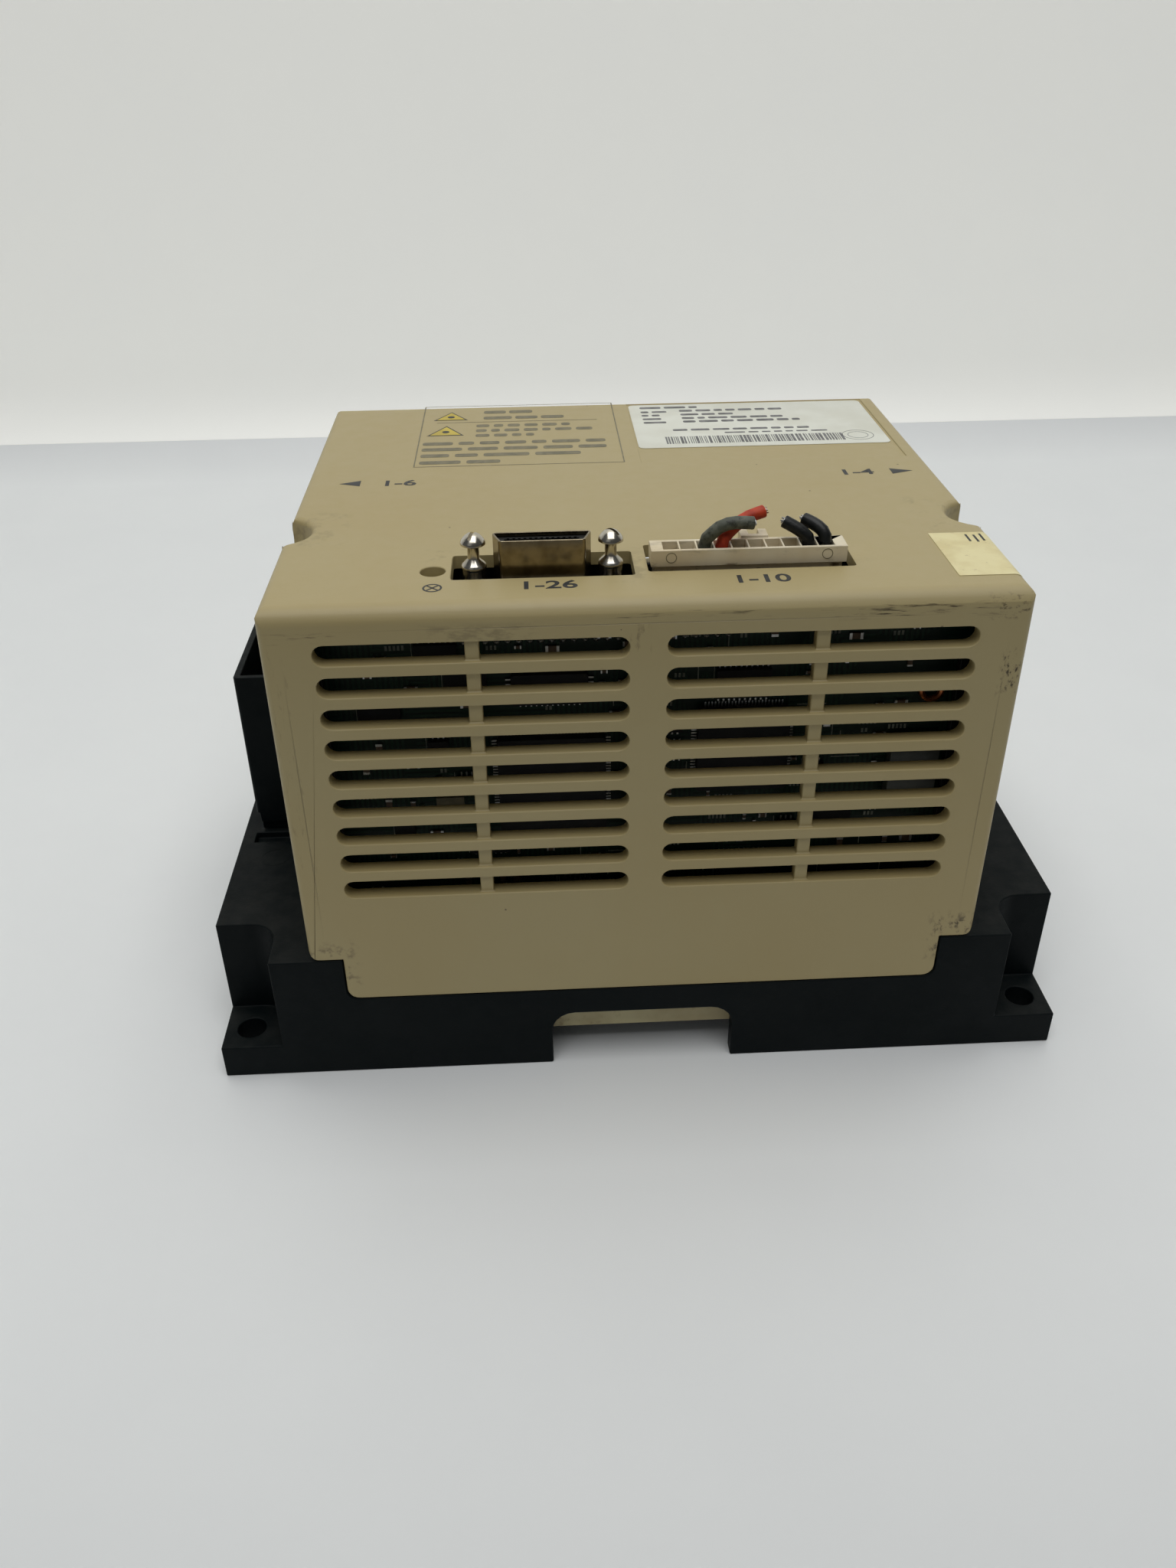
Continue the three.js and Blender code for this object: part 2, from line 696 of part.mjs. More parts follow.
// The ribbon connector's outline: a rounded trapezium, a little narrower in front.
function portOutline(inset) {
  const wide = port.width / 2 - inset;
  const narrow = wide - port.taper;
  const deep = port.thickness / 2 - inset;
  const y = front + port.fromFront;
  const soft = Math.max(0.25, 1 - inset);
  const corners = [[-narrow + soft, -deep + soft], [narrow - soft, -deep + soft],
    [wide - soft, deep - soft], [-wide + soft, deep - soft]];
  return corners.flatMap(([dx, dy], i) => arcPoints(port.x + dx, y + dy, soft, 0.5 + i / 4, 0.25, 3));
}

function makePort() {
  const shellBottom = portPlateTop + gap;
  const shellTop = body.height + portRise.shell;
  const tube = prismZ(portOutline(0), shellBottom, shellTop);
  const bore = prismZ(portOutline(port.wall), shellBottom - over, shellTop + over);
  place("io_port_shell", tube.subtract(bore), "plated");

  const y = front + port.fromFront;
  const insertTop = shellTop - portRise.insert;
  const slotHalf = ((port.contacts + 0.4) * port.pitch) / 2;
  let insert = prismZ(portOutline(port.wall + gap), shellBottom, insertTop);
  insert = insert.subtract(block(
    port.x - slotHalf, port.x + slotHalf, y - 0.85, y + 0.85, insertTop - 6, insertTop + over,
  ));
  for (let i = 0; i < port.contacts; i += 1) {
    const x = port.x + (i - (port.contacts - 1) / 2) * port.pitch;
    insert = insert.subtract(block(x - 0.3, x + 0.3, y - 1.45, y + 1.45, insertTop - 5.5, insertTop + over));
  }
  place("io_port_insert", insert, "blackPlastic");

  const plateHalf = portWindow.width / 2 - 0.7;
  const plateNear = front + portWindow.fromFront - portWindow.length / 2 + 0.5;
  const plateFar = front + portWindow.fromFront + portWindow.length / 2 - 0.8;
  const plateBottom = portPlateTop - portRise.plate;
  const plate = outline(port.x - plateHalf, plateNear, port.x + plateHalf, plateFar, 1);
  let bracket = prismZ(plate, plateBottom, portPlateTop);
  const lug = { half: 0.6, fromEdge: 0.4, length: 4, rise: 4 };
  for (const side of sides) {
    for (const beside of sides) {
      const x = port.x + side * (post.spacing / 2) + beside * (post.radius + 1.3);
      const near = plateNear + lug.fromEdge;
      const top = portPlateTop + lug.rise;
      bracket = bracket.add(block(x - lug.half, x + lug.half, near, near + lug.length, plateBottom, top));
    }
  }
  place("io_port_bracket", bracket, "steel");

  const bodyTop = plateBottom - gap;
  const portBody = block(
    port.x - plateHalf + 1, port.x + plateHalf - 1, boardBack + gap, plateFar - 1,
    bodyTop - portRise.bodyHeight, bodyTop,
  );
  place("io_port_body", portBody, "blackPlastic");
}

function makePosts() {
  const bottom = portPlateTop + gap;
  const top = body.height + post.rise;
  const rise = top - bottom;
  const collar = rise - post.rise + post.collarRise;
  const head = rise - post.headHeight;
  const { radius, neck } = post;
  const stem = radius - 0.2;
  const profile = [
    [0, 0], [stem, 0], [stem, collar - 0.9], [radius, collar - 0.6], [radius * 0.9, collar],
    [neck, collar + 1.2], [neck, head - 0.2],
    [radius, head], [radius, head + 0.5], [radius * 0.78, head + 1.4], [radius * 0.4, rise - 0.4], [0, rise],
  ];
  const turns = { "-1": -0.35, 1: 0.9 };
  for (const side of sides) {
    const x = port.x + side * (post.spacing / 2);
    const y = front + port.fromFront;
    const saw = new THREE.BoxGeometry(post.slot, 3 * radius, 2 * over);
    saw.rotateZ(turns[side]).translate(x, y, top);
    const piece = turned(profile, x, y, bottom, 18).subtract(solid(saw));
    place(side < 0 ? "jack_post_left" : "jack_post_right", piece, "plated");
  }
}

// ---- motor feedback plug, its header and the cut wires ----

function makeHeader() {
  const top = plugBottom - gap;
  const near = boardBack + gap;
  let piece = block(plug.left, plugRight, near, plugMiddle + plug.thickness / 2, top - 8, top);
  for (let i = 1; i <= plug.cells; i += 1) {
    const x = cellX(i);
    const half = plugCell.pin / 2;
    piece = piece.add(block(x - half, x + half, plugMiddle - half, plugMiddle + half, top - over, top + 4.6));
  }
  place("wire_header", piece, "ivoryPlastic");
}

function makePlug() {
  const near = plugMiddle - plug.thickness / 2;
  const far = plugMiddle + plug.thickness / 2;
  const { left, step } = plug;
  const stepTop = plugTop - plug.rise;
  let piece = block(left, plugRight, near, far, stepTop, plugTop)
    .add(block(left + step, plugRight - step, near + step, far - step, plugBottom, stepTop + over));
  const x = (plug.left + plugRight) / 2 + 2;
  const { width, reach, notch } = latch;
  const arm = block(x - width / 2, x + width / 2, far - step / 2, far + reach, plugTop - 6, plugTop + 0.6);
  const cut = block(x - notch / 2, x + notch / 2, far + 1, far + reach + over, plugTop - 7, plugTop + over);
  piece = piece.add(arm.subtract(cut));
  for (let i = 1; i <= plug.cells; i += 1) {
    const x = cellX(i);
    const half = plugCell.width / 2;
    const hole = plugCell.pinHole / 2;
    const floor = plugTop - plugCell.depth;
    const halfLength = plugCell.length / 2;
    piece = piece.subtract(block(
      x - half, x + half, plugMiddle - halfLength, plugMiddle + halfLength, floor, plugTop + over,
    ));
    piece = piece.subtract(block(
      x - hole, x + hole, plugMiddle - hole, plugMiddle + hole, plugBottom - over, floor + over,
    ));
  }
  place("wire_plug", piece, "ivoryPlastic");
}

// Each stub starts upright in its cell; the later points are measured from the top of the plug.
function makeWire(name, cell, bends, finish) {
  const x = cellX(cell);
  const start = [-4.4, -1.6, 0.7].map((z) => new THREE.Vector3(x, plugMiddle, plugTop + z));
  const rest = bends.map(([dx, dy, dz]) => new THREE.Vector3(x + dx, plugMiddle + dy, plugTop + dz));
  const path = new THREE.CatmullRomCurve3([...start, ...rest]);
  const last = wire.sides - 1;
  const section = new THREE.Shape(arcPoints(0, 0, wire.radius, 0, last / wire.sides, last));
  const options = { steps: wire.steps, bevelEnabled: false, extrudePath: path };
  place(name, solid(new THREE.ExtrudeGeometry(section, options)), finish);
}

function makeWires() {
  const greyBends = [[1.1, -1.0, 2.6], [3.5, -1.2, 4.7], [6.6, -1.2, 5.4], [10.9, -1.0, 5.1]];
  makeWire("grey_wire", 3, greyBends, "greyRubber");
  makeWire("red_wire", 4, [[2.0, 1.4, 2.6], [5.6, 3.2, 4.7], [10.1, 4.4, 5.9]], "redRubber");
  makeWire("black_wire_inner", 9, [[-1.9, 0.7, 2.4], [-5.6, 2.0, 4.3]], "blackRubber");
  makeWire("black_wire_outer", 10, [[-0.5, 0.9, 2.0], [-2.3, 2.4, 3.2], [-4.6, 4.2, 3.9]], "blackRubber");
}

// ---- power sockets beside the cover ----

function makeSocket(side) {
  const name = side < 0 ? "left" : "right";
  const bottom = deckTop + gap;
  const near = front + socket.fromFront;
  const far = near + socket.length;
  const inner = socketInner;
  const outer = inner + socket.width;
  const span = (a, b) => [side * a, side * b].sort((p, q) => p - q);
  const [x0, x1] = span(inner, outer);
  const [c0, c1] = span(inner + socket.wall, outer - socket.wall);
  const [s0, s1] = span(outer - socket.step, outer + over);
  const { wall, floor, step, stepHeight, contacts, contactRise } = socket;
  const frontStepTop = bottom + stepHeight / 2;
  const piece = prismZ(outline(x0, near, x1, far, 1), bottom, socket.top)
    .subtract(block(c0, c1, near + wall, far - wall, bottom + floor, socket.top + over))
    .subtract(block(s0, s1, near - over, far + over, bottom - over, bottom + stepHeight))
    .subtract(block(x0 - over, x1 + over, near - over, near + step, bottom - over, frontStepTop));
  place(`${name}_socket_shroud`, piece, "basePlastic");

  const insertFoot = bottom + floor + gap;
  const insertTop = insertFoot + socket.insertHeight;
  let insert = block(c0 + gap, c1 - gap, near + wall + gap, far - wall - gap, insertFoot, insertTop);
  const pitch = (socket.length - 2 * wall) / contacts;
  const middle = (c0 + c1) / 2;
  for (let i = 0; i < contacts; i += 1) {
    const y = near + wall + (i + 0.5) * pitch;
    const blade = block(middle - 2, middle + 2, y - 0.5, y + 0.5, insertTop - over, insertTop + contactRise);
    insert = insert.add(blade);
  }
  place(`${name}_socket_contacts`, insert, "blackPlastic");
}

makeCover();
makeBase();
makeLabelPlate();
makeHeatSink();
makeSinkScrews();
makePowerModules();
makePowerBoard();
makeStandoffs();
makeCapacitors();
makeTransformer();
makeChoke();
makeSensorsAndRelay();
makeDivider();
makeControlBoard();
makeCardGuides();
makeChips();
makeBoardLink();
makeLamp();
makePort();
makePosts();
makeHeader();
makePlug();
makeWires();
sides.forEach(makeSocket);

export default drive;
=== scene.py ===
# A servo drive on its mounting base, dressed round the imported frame.
import json
import math
import random

import bmesh
import bpy
from mathutils import Matrix, Vector


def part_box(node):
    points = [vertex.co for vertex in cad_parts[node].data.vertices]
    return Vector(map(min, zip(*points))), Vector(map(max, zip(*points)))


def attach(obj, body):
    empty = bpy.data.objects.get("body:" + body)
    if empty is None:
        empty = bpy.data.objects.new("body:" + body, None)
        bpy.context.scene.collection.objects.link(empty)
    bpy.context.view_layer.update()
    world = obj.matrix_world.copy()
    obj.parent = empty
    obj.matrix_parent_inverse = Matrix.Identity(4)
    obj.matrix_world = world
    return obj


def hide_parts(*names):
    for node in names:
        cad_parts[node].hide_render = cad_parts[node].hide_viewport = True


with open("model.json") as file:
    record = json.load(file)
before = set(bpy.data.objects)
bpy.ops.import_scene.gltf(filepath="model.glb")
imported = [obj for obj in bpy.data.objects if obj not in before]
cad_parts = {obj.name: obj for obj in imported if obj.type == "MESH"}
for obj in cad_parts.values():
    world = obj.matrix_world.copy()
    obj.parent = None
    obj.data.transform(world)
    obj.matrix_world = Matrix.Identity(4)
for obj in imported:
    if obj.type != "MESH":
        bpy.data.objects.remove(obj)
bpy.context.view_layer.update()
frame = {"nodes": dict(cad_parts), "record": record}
cadNodes = frame["nodes"]
mm = 0.001

bodies = frame["record"]["behaviour"]["bodies"]
nodeBody = {node: body for body, members in bodies.items() for node in members}
nodeSlot = {entry["node"]: entry["material_slot"] for entry in frame["record"]["subparts"]}


def boxOf(node):
    low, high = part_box(node)
    return low / mm, high / mm


coverLow, coverHigh = boxOf("cover")
frontY = coverLow.y
topZ = coverHigh.z
deckZ = boxOf("base_frame")[1].z


def addObject(name, data):
    thing = bpy.data.objects.new(name, data)
    bpy.context.scene.collection.objects.link(thing)
    return thing


# camera

cameraView = {
    "place": (-24.7, -326.8, 247.8),  # mm
    "azimuth": 2.49,
    "elevation": 32.39,
    "roll": -0.68,
    "lens": 29.06,
}


def makeCamera():
    azimuth, elevation, roll = (math.radians(cameraView[key]) for key in ("azimuth", "elevation", "roll"))
    forward = Vector((
        math.sin(azimuth) * math.cos(elevation),
        math.cos(azimuth) * math.cos(elevation),
        -math.sin(elevation),
    ))
    level = Vector((math.cos(azimuth), -math.sin(azimuth), 0))
    upright = level.cross(forward)
    right = level * math.cos(roll) + upright * math.sin(roll)
    up = right.cross(forward)
    data = bpy.data.cameras.new("camera")
    data.sensor_width = 36
    data.lens = cameraView["lens"]
    data.clip_start = 0.01
    camera = addObject("camera", data)
    turn = Matrix((right, up, -forward)).transposed().to_4x4()
    camera.matrix_world = Matrix.Translation(Vector(cameraView["place"]) * mm) @ turn
    bpy.context.scene.camera = camera


makeCamera()
print("camera done")


# node helpers


def feed(tree, socket, value):
    if isinstance(value, bpy.types.NodeSocket):
        tree.links.new(value, socket)
    else:
        socket.default_value = value


def put(tree, kind, inputs=None, **settings):
    node = tree.nodes.new("ShaderNode" + kind)
    for key, value in settings.items():
        setattr(node, key, value)
    for key, value in (inputs or {}).items():
        feed(tree, node.inputs[key], value)
    return node


def calc(tree, operation, a, b=0.0):
    return put(tree, "Math", {0: a, 1: b}, operation=operation).outputs[0]


def times(tree, a, b):
    return calc(tree, "MULTIPLY", a, b)


def fromOne(tree, value):
    return calc(tree, "SUBTRACT", 1.0, value)


def vectorCalc(tree, operation, a, b=(0, 0, 0)):
    return put(tree, "VectorMath", {0: a, 1: b}, operation=operation).outputs[0]


def axesOf(tree, vector):
    return put(tree, "SeparateXYZ", {0: vector}).outputs


def blendColors(tree, factor, a, b):
    return put(tree, "Mix", {0: factor, 6: a, 7: b}, data_type="RGBA").outputs[2]


def layOver(tree, color, mask, amount, other):  # another colour, as strong as its mask
    return blendColors(tree, times(tree, mask, amount), color, (*other, 1))


def spread(tree, value, low, high):
    ends = {"Value": value, "From Min": low, "From Max": high}
    return put(tree, "MapRange", ends, interpolation_type="SMOOTHSTEP").outputs["Result"]


def inMillimetres(tree):
    place = put(tree, "TexCoord").outputs["Object"]
    return put(tree, "VectorMath", {0: place, "Scale": 1 / mm}, operation="SCALE").outputs[0]


def noise(tree, vector, scale, detail=2.0, roughness=0.5):
    values = {"Vector": vector, "Scale": scale, "Detail": detail, "Roughness": roughness}
    return put(tree, "TexNoise", values).outputs["Fac"]


# shader groups that several materials share


def makeGroup(name, output, build, **inputs):
    group = bpy.data.node_groups.new(name, "ShaderNodeTree")
    for label, value in {"Vector": (0, 0, 0), **inputs}.items():
        kind = "Float" if isinstance(value, float) else "Color" if len(value) == 4 else "Vector"
        socket = group.interface.new_socket(label, in_out="INPUT", socket_type="NodeSocket" + kind)
        socket.default_value = value
    kind = "Color" if output == "Color" else "Float"
    group.interface.new_socket(output, in_out="OUTPUT", socket_type="NodeSocket" + kind)
    start = group.nodes.new("NodeGroupInput").outputs
    end = group.nodes.new("NodeGroupOutput").inputs
    group.links.new(build(group, start), end[output])
    return group


def buildGrain(tree, start):  # the fine spark-eroded texture of a moulding
    soft = noise(tree, start["Vector"], start["Scale"], 2.0, 0.6)
    cells = put(tree, "TexVoronoi", {"Vector": start["Vector"], "Scale": start["Scale"]}).outputs["Distance"]
    return calc(tree, "ADD", times(tree, soft, 0.6), times(tree, cells, 0.4))


def buildDrift(tree, start):  # slow change from one colour to another
    wide = noise(tree, start["Vector"], start["Scale"], 3.0, 0.55)
    factor = times(tree, spread(tree, wide, 0.35, 0.68), start["Amount"])
    return blendColors(tree, factor, start["Color"], start["Other"])


def buildStain(tree, start):  # blotches of dirt
    blotch = noise(tree, start["Vector"], start["Scale"], 6.0, 0.65)
    low = calc(tree, "SUBTRACT", 0.8, times(tree, start["Cover"], 0.6))
    return spread(tree, blotch, low, calc(tree, "ADD", low, 0.16))


def buildPlace(tree, start):  # a soft-edged box: 1 inside, 0 outside
    offset = vectorCalc(tree, "SUBTRACT", start["Vector"], start["Centre"])
    share = vectorCalc(tree, "DIVIDE", offset, start["Reach"])
    axes = axesOf(tree, vectorCalc(tree, "ABSOLUTE", share))
    furthest = calc(tree, "MAXIMUM", calc(tree, "MAXIMUM", axes[0], axes[1]), axes[2])
    return fromOne(tree, spread(tree, furthest, fromOne(tree, start["Fade"]), 1.0))


def buildSpecks(tree, start):  # small separate dots
    cell = put(tree, "TexVoronoi", {"Vector": start["Vector"], "Scale": start["Scale"]})
    near = calc(tree, "LESS_THAN", cell.outputs["Distance"], start["Size"])
    pick = put(tree, "SeparateColor", {0: cell.outputs["Color"]}).outputs[0]
    return times(tree, near, calc(tree, "LESS_THAN", pick, start["Amount"]))


def buildScratches(tree, start):  # fine lines along the stretched axis
    lines = noise(tree, start["Vector"], start["Scale"], 1.0, 0.4)
    off = calc(tree, "ABSOLUTE", calc(tree, "SUBTRACT", lines, 0.5))
    thin = fromOne(tree, spread(tree, off, 0.002, 0.012))
    patch = noise(tree, start["Vector"], times(tree, start["Scale"], 0.31), 2.0, 0.5)
    bare = calc(tree, "SUBTRACT", 0.75, start["Amount"])
    return times(tree, thin, spread(tree, patch, bare, 0.8))


def buildDustAndSheen(tree, start):  # dust that settles on what faces up, and a painted sheen that lightens upward faces
    up = axesOf(tree, put(tree, "NewGeometry").outputs["Normal"])[2]
    patch = noise(tree, start["Vector"], start["Scale"], 5.0, 0.6)
    return times(tree, spread(tree, up, 0.4, 0.95), spread(tree, patch, 0.3, 0.75))


groups = {
    "grain": makeGroup("mouldingGrain", "Height", buildGrain, Scale=3.0),
    "drift": makeGroup("colourDrift", "Color", buildDrift, Scale=0.02, Amount=1.0,
                       Color=(1, 1, 1, 1), Other=(0, 0, 0, 1)),
    "stain": makeGroup("stainMask", "Mask", buildStain, Scale=0.1, Cover=0.3),
    "place": makeGroup("placeMask", "Mask", buildPlace, Centre=(0, 0, 0), Reach=(1, 1, 1), Fade=0.5),
    "specks": makeGroup("speckMask", "Mask", buildSpecks, Scale=0.1, Size=0.1, Amount=0.3),
    "scratches": makeGroup("scratchMask", "Mask", buildScratches, Scale=0.1, Amount=0.2),
    "dust": makeGroup("dustMask", "Mask", buildDustAndSheen, Scale=0.1),
}


def useGroup(tree, name, vector, **inputs):
    return put(tree, "Group", {"Vector": vector, **inputs}, node_tree=groups[name]).outputs[0]


# materials


def startMaterial(name):
    material = bpy.data.materials.new(name)
    material.use_nodes = True
    tree = material.node_tree
    return material, tree, tree.nodes["Principled BSDF"].inputs


def driftingColor(tree, place, look, scale):
    ends = {"Color": (*look["color"], 1), "Other": (*look["other"], 1)}
    return useGroup(tree, "drift", place, Scale=scale, **ends)


# the colour of settled dust, also used as a painted sheen on upward faces
dustAndSheenColor = (0.30, 0.28, 0.24)
commonLook = {  # what a finish has where its own look says nothing else
    "metallic": 0.0,
    "specular": 0.5,
    "gleamScale": 0.25,
    "gleamSwing": 0.25,
    "grainScale": 2.5,
    "grainHeight": 0.02,
    "stretch": (1, 1, 1),
    "driftScale": 0.05,
    "stain": 0.3,
    "stainScale": 0.2,
    "stainColor": (0.05, 0.04, 0.03),
    "dust": 0.0,
}


def finishMaterial(tree, shader, place, ownLook, color, extraHeight=None):
    look = {**commonLook, **ownLook}
    changing = noise(tree, place, look["gleamScale"], 3.0, 0.6)
    swing = times(tree, calc(tree, "SUBTRACT", changing, 0.5), look["gleamSwing"])
    feed(tree, shader["Roughness"], calc(tree, "ADD", swing, look["roughness"]))
    feed(tree, shader["Base Color"], color)
    shader["Metallic"].default_value = look["metallic"]
    shader["Specular IOR Level"].default_value = look["specular"]
    grainPlace = vectorCalc(tree, "MULTIPLY", place, look["stretch"])
    height = times(tree, useGroup(tree, "grain", grainPlace, Scale=look["grainScale"]), look["grainHeight"])
    if extraHeight is not None:
        height = calc(tree, "ADD", height, extraHeight)
    bump = put(tree, "Bump", {"Strength": 1.0, "Distance": mm, "Height": height})
    feed(tree, shader["Normal"], bump.outputs["Normal"])


def makeFinish(name, ownLook):
    look = {**commonLook, **ownLook}
    material, tree, shader = startMaterial(name)
    place = inMillimetres(tree)
    color = driftingColor(tree, place, look, look["driftScale"])
    stain = useGroup(tree, "stain", place, Scale=look["stainScale"], Cover=look["stain"])
    color = layOver(tree, color, stain, 0.6, look["stainColor"])
    # dust on upward faces, partly a painted sheen that makes tops lighter
    color = layOver(tree, color, useGroup(tree, "dust", place, Scale=0.15), look["dust"], dustAndSheenColor)
    finishMaterial(tree, shader, place, look, color)
    return material


plainLooks = {
    "basePlastic": {
        "color": (0.0030, 0.0055, 0.0060), "other": (0.0050, 0.0075, 0.0080), "roughness": 0.5,
        "specular": 0.08, "grainScale": 2.2, "grainHeight": 0.03, "dust": 0.03, "stain": 0.12,
        "stainColor": (0.030, 0.020, 0.012),
    },
    "connectorBlack": {
        "color": (0.006, 0.006, 0.006), "other": (0.010, 0.010, 0.010), "roughness": 0.42, "specular": 0.25,
        "grainHeight": 0.01, "dust": 0.04, "stain": 0.15,
    },
    "chipEpoxy": {
        "color": (0.010, 0.010, 0.011), "other": (0.016, 0.016, 0.016), "roughness": 0.6, "specular": 0.2,
        "grainScale": 5.0, "grainHeight": 0.02, "dust": 0.10, "stain": 0.2,
    },
    "platedMetal": {
        "color": (0.66, 0.62, 0.54), "other": (0.50, 0.46, 0.38), "roughness": 0.2, "metallic": 1.0,
        "driftScale": 0.3, "gleamScale": 0.8, "gleamSwing": 0.22, "grainScale": 3.0, "grainHeight": 0.004,
        "stretch": (1, 1, 0.12), "stain": 0.25, "stainScale": 0.6, "stainColor": (0.16, 0.12, 0.07),
    },
    "shellMetal": {
        "color": (0.30, 0.25, 0.165), "other": (0.20, 0.16, 0.10), "roughness": 0.22, "metallic": 1.0,
        "driftScale": 0.25, "gleamScale": 0.8, "gleamSwing": 0.18, "grainScale": 3.0, "grainHeight": 0.004,
        "stretch": (1, 1, 0.12), "stain": 0.3, "stainScale": 0.4, "stainColor": (0.12, 0.09, 0.05),
    },
    "dullSteel": {
        "color": (0.035, 0.032, 0.028), "other": (0.02, 0.018, 0.016), "roughness": 0.55, "metallic": 1.0,
        "driftScale": 0.3, "grainScale": 4.0, "grainHeight": 0.006, "stain": 0.4, "stainScale": 0.6,
        "stainColor": (0.04, 0.03, 0.02),
    },
    "sinkAluminium": {
        "color": (0.55, 0.56, 0.57), "other": (0.42, 0.43, 0.44), "roughness": 0.38, "metallic": 1.0,
        "grainScale": 2.5, "grainHeight": 0.012, "stretch": (1, 0.03, 1), "stain": 0.25,
        "stainColor": (0.22, 0.2, 0.17),
    },
    "fastenerSteel": {
        "color": (0.48, 0.47, 0.45), "other": (0.36, 0.34, 0.30), "roughness": 0.32, "metallic": 1.0,
        "driftScale": 0.3, "grainScale": 4.0, "grainHeight": 0.006, "stain": 0.3, "stainScale": 0.7,
        "stainColor": (0.14, 0.10, 0.06),
    },
    "greyInsulation": {
        "color": (0.075, 0.082, 0.060), "other": (0.13, 0.138, 0.105), "roughness": 0.5, "driftScale": 0.5,
        "specular": 0.35, "grainScale": 1.2, "grainHeight": 0.06, "stain": 0.52, "stainScale": 0.7,
        "stainColor": (0.008, 0.008, 0.006),
    },
    "redInsulation": {
        "color": (0.52, 0.058, 0.018), "other": (0.38, 0.036, 0.014), "roughness": 0.5, "driftScale": 0.5,
        "specular": 0.3, "grainScale": 1.5, "grainHeight": 0.03, "stain": 0.3, "stainScale": 0.5,
        "stainColor": (0.06, 0.015, 0.01),
    },
    "blackInsulation": {
        "color": (0.005, 0.006, 0.0055), "other": (0.010, 0.011, 0.010), "roughness": 0.4, "driftScale": 0.5,
        "specular": 0.35, "grainScale": 1.5, "grainHeight": 0.05, "stain": 0.25, "stainScale": 0.5,
        "stainColor": (0.03, 0.025, 0.02),
    },
    "wireCopper": {
        "color": (0.62, 0.56, 0.50), "other": (0.48, 0.26, 0.13), "roughness": 0.3, "metallic": 1.0,
        "driftScale": 1.2, "grainHeight": 0.005,
    },
    "windingCopper": {
        "color": (0.50, 0.17, 0.06), "other": (0.36, 0.11, 0.04), "roughness": 0.28, "metallic": 0.9,
        "driftScale": 0.2, "grainHeight": 0.005, "stain": 0.2,
    },
    "solderTin": {
        "color": (0.62, 0.63, 0.63), "other": (0.46, 0.46, 0.45), "roughness": 0.3, "metallic": 1.0,
        "driftScale": 0.8, "grainHeight": 0.01, "stain": 0.2,
    },
    "partBrown": {
        "color": (0.075, 0.045, 0.022), "other": (0.11, 0.065, 0.035), "roughness": 0.5, "driftScale": 0.4,
        "grainHeight": 0.01, "dust": 0.1,
    },
    "silkWhite": {
        "color": (0.24, 0.26, 0.22), "other": (0.14, 0.15, 0.13), "roughness": 0.6, "driftScale": 0.3,
        "grainHeight": 0.01,
    },
    "printDark": {
        "color": (0.020, 0.022, 0.024), "other": (0.045, 0.045, 0.042), "roughness": 0.55, "driftScale": 0.5,
        "grainHeight": 0.004, "stain": 0.2, "stainColor": (0.16, 0.13, 0.08),
    },
    "printFaded": {
        "color": (0.15, 0.135, 0.082), "other": (0.21, 0.185, 0.11), "roughness": 0.55, "driftScale": 0.4,
        "grainHeight": 0.004, "stain": 0.2, "stainColor": (0.30, 0.26, 0.16),
    },
    "boardGrey": {
        "color": (0.070, 0.075, 0.068), "other": (0.050, 0.054, 0.050), "roughness": 0.55, "driftScale": 0.3,
        "grainHeight": 0.01, "dust": 0.1,
    },
    "signYellow": {
        "color": (0.60, 0.47, 0.055), "other": (0.50, 0.38, 0.05), "roughness": 0.5, "driftScale": 0.2,
        "grainHeight": 0.004, "stain": 0.2,
    },
    "labelInk": {
        "color": (0.10, 0.10, 0.10), "other": (0.20, 0.20, 0.20), "roughness": 0.5, "driftScale": 0.4,
        "grainHeight": 0.004, "stain": 0.2, "stainColor": (0.4, 0.4, 0.38),
    },
    "labelPaper": {
        "color": (0.78, 0.79, 0.70), "other": (0.70, 0.70, 0.60), "roughness": 0.35, "driftScale": 0.06,
        "grainScale": 2.0, "grainHeight": 0.006, "stain": 0.18, "stainScale": 0.12,
        "stainColor": (0.5, 0.47, 0.38),
    },
    "tapePaper": {
        "color": (0.80, 0.72, 0.40), "other": (0.70, 0.60, 0.30), "roughness": 0.42, "driftScale": 0.12,
        "grainScale": 1.6, "grainHeight": 0.02, "stain": 0.35, "stainScale": 0.35,
        "stainColor": (0.36, 0.25, 0.10),
    },
    "capacitorSleeve": {
        "color": (0.012, 0.020, 0.055), "other": (0.018, 0.028, 0.07), "roughness": 0.3,
        "grainHeight": 0.008, "dust": 0.12, "stain": 0.15,
    },
    "sleeveStripe": {
        "color": (0.42, 0.45, 0.50), "other": (0.34, 0.37, 0.42), "roughness": 0.35, "grainHeight": 0.006,
        "dust": 0.1,
    },
    "lampLens": {
        "color": (0.44, 0.38, 0.20), "other": (0.34, 0.29, 0.15), "roughness": 0.25, "grainHeight": 0.004,
        "driftScale": 0.3, "stain": 0.25, "stainScale": 0.5,
    },
}
materials = {name: makeFinish(name, look) for name, look in plainLooks.items()}

